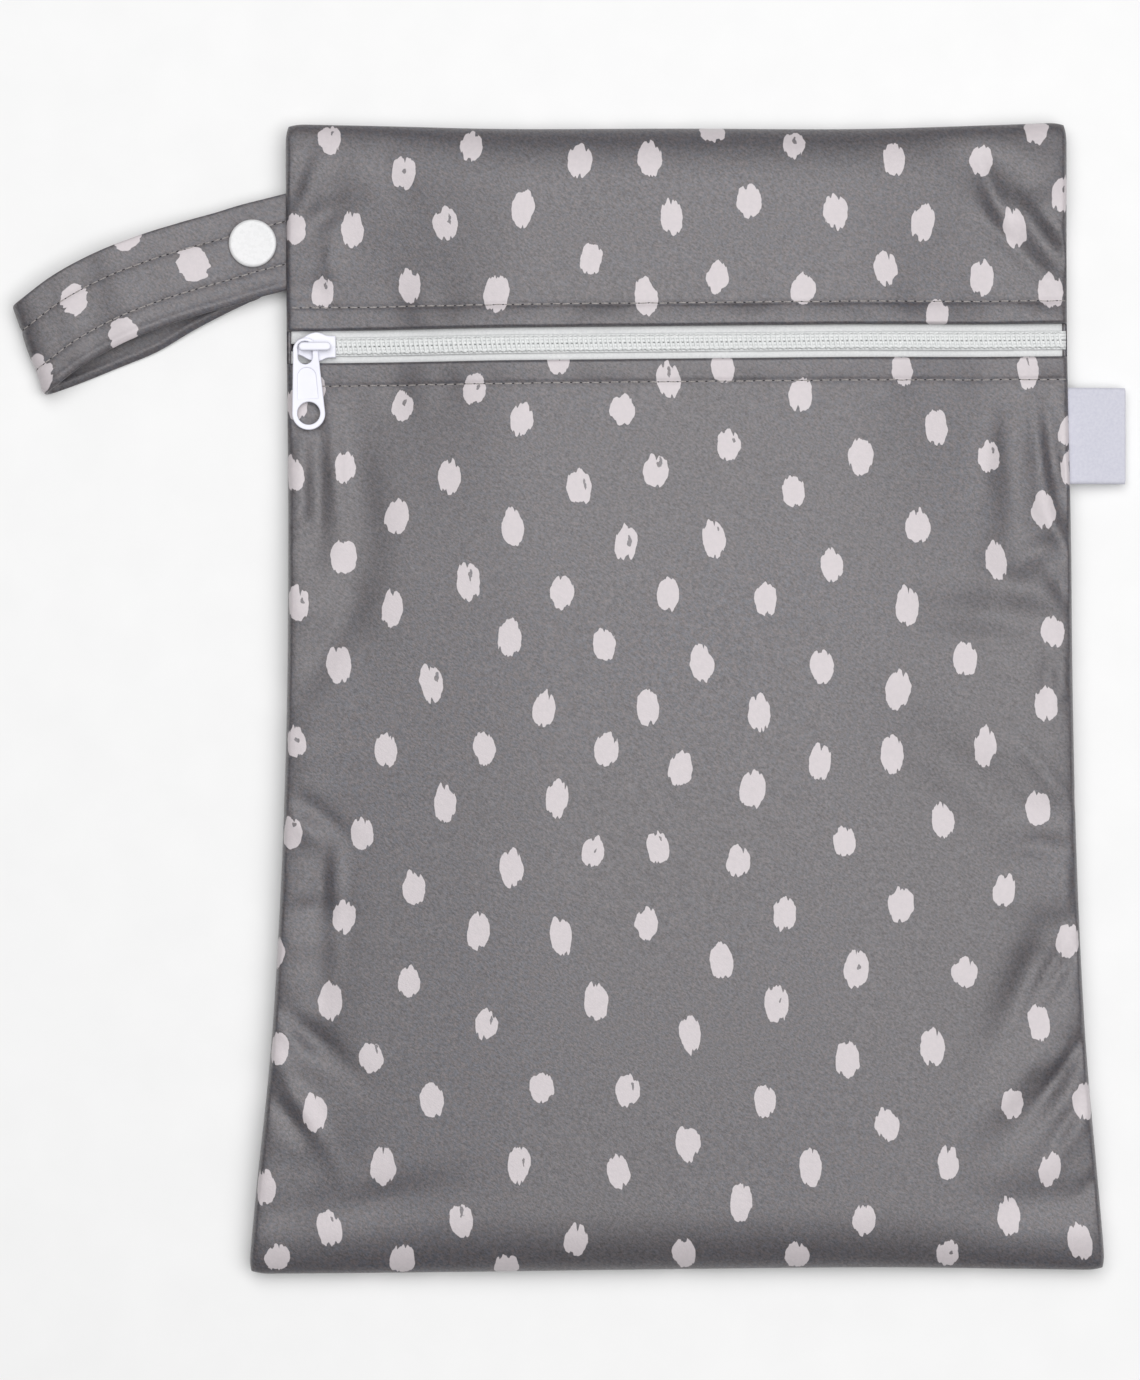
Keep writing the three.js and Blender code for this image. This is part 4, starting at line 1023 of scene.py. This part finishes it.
def coil_teeth(name, side):
    """Loops of nylon whose heads meet those of the other side, with their stitches to the tape."""
    draw = random.Random(SEED["coil"] + side)
    left = SLIDER_LEFT + SLIDER["length"] * 0.75
    right = float(edge_x(np.array(1.0), np.array(zip_y(HALF_WIDTH)))) - COIL["end"]
    parts = []
    for k in range(int((right - left) / COIL["pitch"])):
        x = left + (k + (0.25 if side > 0 else 0.75)) * COIL["pitch"]
        low = float(zip_height(np.array(x / HALF_WIDTH))) + CLOTH["play"]
        path = [(x + side * TOOTH_LEAN * (1 - beside / TOOTH[0][0]) + draw.uniform(-0.02, 0.02),
                 zip_y(x) + side * beside, low + up) for beside, up, _ in TOOTH]
        parts.append(tube(path, [radius for _, _, radius in TOOTH], 8))
        if k % 2 == 0:
            loop = [(x + step, zip_y(x) + side * (STITCH_PLACE["beside"] + STITCH_PLACE["sway"] * sway),
                     low + STITCH_PLACE["up"] + lift) for step, sway, lift, _ in TOOTH_STITCH]
            parts.append(tube(loop, [radius for _, _, _, radius in TOOTH_STITCH], 6))
    parts += [coil_core(side, left, right, *cord) for cord in COIL_CORDS]
    return make_object(name, *gather(parts), COIL_LOOK)


def coil_core(side, left, right, beside, up, radius):
    """One of the cords that fill the coil."""
    x = np.linspace(left, right, 150)
    path = np.stack([x, zip_y(x) + side * beside, zip_height(x / HALF_WIDTH) + CLOTH["play"] + up], -1)
    return tube(path, np.full(len(x), radius), 8)


# The slider and its pull

PLATE_LOW = CLOTH["play"] + COIL["height"] + CLOTH["play"]
PLATE_HIGH = PLATE_LOW + SLIDER["plate"]
PULL_LOW = PLATE_HIGH + CLOTH["play"]
PULL_HIGH = PULL_LOW + PULL["wall"]
CROWN_LOW = PULL_HIGH + CLOTH["play"]
CROWN_HIGH = CROWN_LOW + CROWN["wall"]
BEVEL = dict(top=0.28, base=0.2, post=0.05, crown=0.42, foot=0.02, pull=0.3, face=0.24)
SUNK = 0.1


def turned_about(degrees):
    """A turn about the Z axis."""
    cosine, sine = math.cos(math.radians(degrees)), math.sin(math.radians(degrees))
    return np.array([[cosine, -sine, 0], [sine, cosine, 0], [0, 0, 1]])


def on_zip(points):
    """From the slider's own frame to the bag's."""
    return np.asarray(points) @ turned_about(ZIP["tilt"]).T + [SLIDER_LEFT, zip_y(SLIDER_LEFT), TAPE_TOP]


def plate(outlines, low, high, bevel, steps=3):
    """A plate with holes between two heights, its edges rounded; the first outline is the outer one."""
    curve = bpy.data.curves.new("plate", "CURVE")
    curve.dimensions = "2D"
    curve.fill_mode = "BOTH"
    curve.extrude = (high - low) / 2 - bevel
    curve.bevel_depth = bevel
    curve.bevel_resolution = steps
    curve.offset = -bevel
    for outline in outlines:
        spline = curve.splines.new("POLY")
        spline.points.add(len(outline) - 1)
        spline.points.foreach_set("co", np.array([(x, y, 0, 1) for x, y in outline]).ravel())
        spline.use_cyclic_u = True
    holder = bpy.data.objects.new("plate", curve)
    bpy.context.scene.collection.objects.link(holder)
    mesh = bpy.data.meshes.new_from_object(holder)
    points = np.array([tuple(vertex.co) for vertex in mesh.vertices]) + [0, 0, (low + high) / 2]
    faces = [list(face.vertices) for face in mesh.polygons]
    bpy.data.objects.remove(holder)
    bpy.data.curves.remove(curve)
    bpy.data.meshes.remove(mesh)
    return points, faces


def arc(x, y, radius, start, end, cells=16):
    angles = np.radians(np.linspace(start, end, cells + 1))
    return [(x + radius * math.cos(a), y + radius * math.sin(a)) for a in angles]


WHOLE_TURN = (0, 352)


def bar_outline(start, end, width):
    radius = width / 2
    return arc(end - radius, 0, radius, -90, 90) + arc(start + radius, 0, radius, 90, 270)


def slider_outline(start, end):
    places = np.linspace(start, end, 24)
    half = SLIDER["width"] / 2 * read(SLIDER_ROWS, "along", "half", places)
    x = places * SLIDER["length"]
    return list(zip(x, -half)) + list(zip(x, half))[::-1]


def flange_outline(sign):
    channel = CLOTH["play"] / 2 + COIL["width"] + CLOTH["play"]
    places = np.linspace(0.5, 1, 10)
    half = SLIDER["width"] / 2 * read(SLIDER_ROWS, "along", "half", places)
    outer = [(x, sign * max(y, channel + SLIDER["flange"])) for x, y in zip(places * SLIDER["length"], half)]
    return outer + [(SLIDER["length"], sign * channel), (SLIDER["length"] / 2, sign * channel)]


def slider_piece():
    """Both plates with the post and flanges between them, and the crown on its two feet."""
    base = -TAPE["wall"] - CLOTH["play"]
    post = SLIDER["post"]
    crown = bar_outline(CROWN["start"], CROWN["end"], CROWN["width"])
    parts = [
        plate([slider_outline(0, 1)], PLATE_LOW, PLATE_HIGH, BEVEL["top"]),
        plate([slider_outline(0.08, 1)], base - SLIDER["plate"], base, BEVEL["base"]),
        plate([bar_outline(1.1 * post, 2.6 * post, post)], base - SUNK, PLATE_LOW + SUNK, BEVEL["post"]),
        plate([flange_outline(1)], CLOTH["play"], PLATE_LOW + SUNK, BEVEL["post"]),
        plate([flange_outline(-1)], CLOTH["play"], PLATE_LOW + SUNK, BEVEL["post"]),
        plate([crown], CROWN_LOW, CROWN_HIGH, BEVEL["crown"]),
    ]
    for x in (CROWN["pivot"], CROWN["start"] + CROWN["end"] - CROWN["pivot"]):
        foot = arc(x, 0, CROWN["foot"], *WHOLE_TURN)
        parts.append(plate([foot], PLATE_HIGH - SUNK, CROWN_LOW + SUNK, BEVEL["foot"]))
    points, faces = gather(parts)
    return make_object("slider_body", on_zip(points), faces, PAINT_LOOK)


def pull_piece():
    """The flat pull: a tapered tab with its slot and round hole, and a face sunk within a rim."""
    tilt = math.degrees(math.asin((PULL["end"] - PULL["loop"]) / PULL["reach"]))
    x, y, low = PULL["side"], -PULL["back"], -PULL["back"] - PULL["reach"]
    outer = arc(x, y, PULL["loop"], -tilt, 180 + tilt, 24)
    outer += arc(x, low, PULL["end"], 180 + tilt, 360 - tilt, 24)
    slot_x, slot_y, slot_low = PULL["slot_side"], -PULL["slot_back"], -PULL["slot_back"] - PULL["slot_length"]
    slot = arc(slot_x, slot_y, PULL["slot"], 0, 180) + arc(slot_x, slot_low, PULL["slot"], 180, 360)
    hole = arc(x, low, PULL["hole"], *WHOLE_TURN, 44)
    face_top = slot_low - PULL["slot"] - PULL["border"]
    face_low = low + PULL["hole"] + PULL["border"]
    half = PULL["loop"] - PULL["border"]
    foot = half + PULL["flare"]
    face = arc(x, face_top - half, half, 0, 180) + [(x - foot, face_low), (x + foot, face_low)]
    rim = PULL["recess"]
    parts = [
        plate([outer, slot, hole], PULL_LOW, PULL_HIGH - rim, BEVEL["pull"]),
        plate([outer, slot, hole, face], PULL_HIGH - 2.4 * rim, PULL_HIGH, BEVEL["face"]),
    ]
    points, faces = gather(parts)
    points = points @ turned_about(PULL["lean"]).T + [CROWN["pivot"], 0, 0]
    return make_object("pull_tab", on_zip(points), faces, PAINT_LOOK, body="pull")


# The snap

# Half sections of its three parts: distance in from the part's rim, then height over its base
CAP_ROWS = ((6.2, 0), (0.9, 0), (0.3, 0.12), (0.05, 0.4), (0, 0.65), (0.12, 0.92), (0.4, 1.1), (0.8, 1.18),
            (1.3, 1.16), (1.8, 1.08), (2.8, 1.02), (4.4, 0.99), (6.2, 0.98))
BACK_ROWS = ((6.2, 0), (0.6, 0), (0.1, 0.2), (0, 0.5), (0.2, 0.85), (0.6, 1), (6.2, 1))
CORE = dict(round=0.1, step=0.3, below=1.5)


def turned(profile, sides=72):
    """A solid of revolution about the snap's axis from pairs of radius and height."""
    angles = np.linspace(0, 2 * math.pi, sides, endpoint=False)
    x, y = SNAP_PLACE
    return rings_solid([[(x + r * math.cos(a), y + r * math.sin(a), z) for a in angles] for r, z in profile])


def rimmed(rows, base):
    return [(max(SNAP["radius"] - inward, SNAP["hub"]), base + up) for inward, up in rows]


def snap_pieces():
    wall = STRAP["wall"] / 2
    low = SNAP["back"] + CLOTH["play"] + 2 * wall
    high = RIM_BASE - CORE["below"]
    hub, rim = SNAP["hub"], SNAP["core"] - CORE["round"]
    core = [(hub, low), (rim, low), (SNAP["core"], low + CORE["step"]), (rim, high), (hub, high)]
    profiles = dict(snap_cap_turned=rimmed(CAP_ROWS, RIM_BASE + CLOTH["play"]), snap_core_turned=core,
                    snap_back_turned=rimmed(BACK_ROWS, 0))
    return [make_object(name, *turned(rows), SNAP_LOOK) for name, rows in profiles.items()]


# The label

LABEL_LAYER = dict(share=0.42, rim=0.35, edge=0.4)
LABEL_WAVE = dict(high=0.12, length=11, start=6)


def label_route(seam):
    """The folded tape from above: out along its upper layer, round the fold and back along its lower one."""
    places = np.linspace(-LABEL["tuck"] / LABEL["length"], 1, 40)
    down = np.where(places < 0, 0, read(LABEL_ROUTE, "out", "down", places))
    x = seam + places * LABEL["length"]
    z = RIM_BASE - LABEL["wall"] / 2 - down * LABEL["droop"]
    apart = LABEL["wall"] / 2 - LABEL["wall"] * LABEL_LAYER["share"] / 2
    fold = [(x[-1] - apart + apart * math.sin(a), z[-1] + apart * math.cos(a))
            for a in np.linspace(0, math.pi, 9)]
    flat_x, flat_z = np.minimum(x[:-2], x[-1] - apart), z[:-2]
    route = list(zip(flat_x, flat_z + apart)) + fold + list(zip(flat_x, flat_z - apart))[::-1]
    return np.array([(a, 0, b) for a, b in route])


def label_piece():
    y = BAG["height"] * (LABEL["up"] - 0.5)
    seam = float(edge_x(np.array(1.0), np.array(y)))
    route = label_route(seam)
    tangents = unit(np.gradient(route, axis=0))
    normals = np.stack([-tangents[:, 2], np.zeros(len(route)), tangents[:, 0]], -1)
    out = route[:, :1]
    beside = np.linspace(-LABEL["width"] / 2, LABEL["width"] / 2, 31)
    wave = ripple(out * 0.6, beside, LABEL_WAVE["length"], SEED["label"])
    wave = LABEL_WAVE["high"] * wave * np.clip((out - seam) / LABEL_WAVE["start"], 0, 1)
    middle = np.stack([np.broadcast_to(out, wave.shape), np.broadcast_to(y + beside, wave.shape),
                       route[:, 2:] + wave], -1)
    rim = LABEL_LAYER["rim"]
    full = rim + (1 - rim) * swell(LABEL["width"] / 2 - np.abs(beside), LABEL_LAYER["edge"])
    lift = normals[:, None] * (LABEL["wall"] * LABEL_LAYER["share"] / 2 * full)[None, :, None]
    rings = np.concatenate([middle + lift, (middle - lift)[:, ::-1]], axis=1)
    return make_object("label_loop", *rings_solid(rings), LABEL_LOOK)


# The stitches

# One stitch: shares of its length, then lift and radius as shares of half its thickness
THREAD = table("along lift round", (0, -0.5, 0.6), (0.12, 0.35, 0.9), (0.3, 0.75, 1), (0.5, 0.85, 1.05),
               (0.7, 0.75, 1), (0.88, 0.35, 0.9), (1, -0.5, 0.6))


def stitch(start, end, normal):
    """One stitch from hole to hole: a short round thread that rises between them."""
    radius = STITCH["thick"] / 2
    path = start + (end - start) * THREAD["along"][:, None] + normal * (THREAD["lift"] * radius)[:, None]
    return tube(path, THREAD["round"] * radius, 7)


def seam_pieces(name, seam):
    """A row of stitches, given as start, end and normal, and dark marks of painted shade at the needle holes
    between them.
    """
    threads = [stitch(start, end, normal) for start, end, normal in seam]
    # Dark tubes at the needle holes: painted shade, not openings in the cloth
    holes = []
    for (first, end, _), (start, _, _) in zip(seam, seam[1:]):
        if np.linalg.norm(start - end) < STITCH["pitch"]:
            middle, reach = (start + end) / 2, unit(start - first) * STITCH["hole"]
            radii = [STITCH["rim"], STITCH["deep"], STITCH["rim"]]
            holes.append(tube([middle - reach, middle, middle + reach], radii))
    return (make_object(f"{name}_stitches", *gather(threads), THREAD_LOOK),
            make_object(f"{name}_needle_hole_shades", *gather(holes), HOLE_SHADE_LOOK))


def hem_stitches(name, side):
    draw = random.Random(SEED["thread"] + side)
    reach = HEM["sewn"] * HALF_WIDTH
    end_gap = np.array(2.0 * BAG["shoulder"])
    seam = []
    for left in np.arange(-reach, reach, STITCH["pitch"]):
        ends = []
        for place in (left, left + STITCH["long"]):
            across = np.array(place / HALF_WIDTH)
            gap = HEM["stitch"] + draw.uniform(-STITCH["stray"], STITCH["stray"])
            y = hem_y(across, side) + side * gap
            ends.append(front_points(across, y, end_gap, np.array(gap), 0, side))
        seam.append((*ends, np.array([0, 0, 1.0])))
    return seam_pieces(name, seam)


def strap_stitches():
    centres, across, normals, half, lengths = STRAP_FRAMES
    upward = normals * np.sign(normals[0][2])
    seam = []
    for row in STRAP_ROWS.values():
        for place in np.arange(1, lengths[STRAP_CELLS["sewn"]], STRAP_STITCH["pitch"]):
            ends = []
            for at in (place, place + STRAP_STITCH["long"]):
                i = int(np.argmin(np.abs(lengths[:STRAP_CELLS["route"]] - at)))
                lift = upward[i] * strap_thickness(np.array(row), half[i])
                lift = lift + [0, 0, strap_lift(lengths[i], row, half[i])]
                ends.append(centres[i] + across[i] * row + lift)
            seam.append((*ends, upward[i]))
    return seam_pieces("strap", seam)


# The whole bag

lower_depth = BAG["height"] * ZIP["up"] - ZIP["opening"] / 2
upper_depth = BAG["height"] * (1 - ZIP["up"]) - ZIP["opening"] / 2
top_cloth = front_panel("front_top_cloth", "top", 1, upper_depth)
lower_cloth = front_panel("front_lower_cloth", "base", -1, lower_depth)
back_cloth = back_panel()
strap_cloth = strap_piece()
strap_print(strap_cloth)
cap, core, back = snap_pieces()
label = label_piece()
dressed = (
    (top_cloth, "front_top_panel", "spotted_cloth"),
    (lower_cloth, "front_lower_panel", "spotted_cloth"),
    (back_cloth, "back_panel", "spotted_cloth"),
    (strap_cloth, "wrist_strap", "spotted_cloth"),
    (zip_tape("tape_woven_top", 1), "zip_tape_top", "zip_tape"),
    (zip_tape("tape_woven_bottom", -1), "zip_tape_bottom", "zip_tape"),
    (coil_teeth("coil_teeth_top", 1), "zip_coil_top", "zip_coil"),
    (coil_teeth("coil_teeth_bottom", -1), "zip_coil_bottom", "zip_coil"),
    (slider_piece(), "zip_slider", "zip_metal"),
    (pull_piece(), "zip_pull", "zip_metal"),
    (cap, "snap_cap", "snap_plastic"),
    (core, "snap_core", "snap_plastic"),
    (back, "snap_back_cap", "snap_plastic"),
    (label, "side_label", "label_tape"),
)
for piece, node, slot in dressed:
    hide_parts(node)

# Rows of stitches along both hems and the strap
for piece in (*hem_stitches("top_hem", 1), *hem_stitches("lower_hem", -1), *strap_stitches()):
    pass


# Floor, light and camera

FLOOR = dict(half=4.0, drop=-0.02 * MM)
KEY_LIGHT = dict(place=(0.17, 0.2, 1.5), size=(2.2, 1.4), power=31.8)
WORLD_LIGHT = 0.15
CAMERA = dict(sensor=36, reach=20)


def floor():
    s = Shader("floor_paper")
    grain = s.noise(60, detail=3.0)
    color = s.mix(s.within(grain, 0.3, 0.7), (0.87, 0.87, 0.87, 1), (0.89, 0.89, 0.89, 1))
    look = s.finish(Base_Color=color, Roughness=0.9)
    mesh = bpy.data.meshes.new("floor")
    half = FLOOR["half"]
    corners = [(x, y, FLOOR["drop"]) for x, y in ((-half, -half), (half, -half), (half, half), (-half, half))]
    mesh.from_pydata(corners, [], [(0, 1, 2, 3)])
    mesh.materials.append(look)
    plane = bpy.data.objects.new("floor", mesh)
    bpy.context.scene.collection.objects.link(plane)


def key_light():
    """A wide soft light over the bag, turned to its middle."""
    light = bpy.data.lights.new("key", "AREA")
    light.shape = "RECTANGLE"
    light.size, light.size_y = KEY_LIGHT["size"]
    light.energy = KEY_LIGHT["power"]
    lamp = bpy.data.objects.new("key", light)
    lamp.location = KEY_LIGHT["place"]
    lamp.rotation_euler = (-Vector(KEY_LIGHT["place"])).to_track_quat("-Z", "Y").to_euler()
    bpy.context.scene.collection.objects.link(lamp)


def studio():
    world = bpy.data.worlds.new("studio")
    world.use_nodes = True
    sky = world.node_tree.nodes["Background"].inputs
    sky["Color"].default_value = (1, 1, 1, 1)
    sky["Strength"].default_value = WORLD_LIGHT
    bpy.context.scene.world = world
    key_light()
    settings = bpy.context.scene.view_settings
    settings.view_transform = "Standard"
    settings.look = "None"


def camera():
    """Straight above the bag, with the photograph's frame at the height of its side seams."""
    lens = bpy.data.cameras.new("camera")
    lens.sensor_width = CAMERA["sensor"]
    lens.lens = CAMERA["sensor"] * PHOTO["distance"] / (PHOTO["height"] * PHOTO["mm"])
    eye = bpy.data.objects.new("camera", lens)
    x = (PHOTO["width"] / 2 - PHOTO["middle_x"]) * PHOTO["mm"]
    y = (PHOTO["middle_y"] - PHOTO["height"] / 2) * PHOTO["mm"]
    eye.location = (x * MM, y * MM, (PHOTO["distance"] + BAG["seam"]) * MM)
    lens.clip_end = CAMERA["reach"]
    bpy.context.scene.collection.objects.link(eye)
    bpy.context.scene.camera = eye


floor()
studio()
camera()
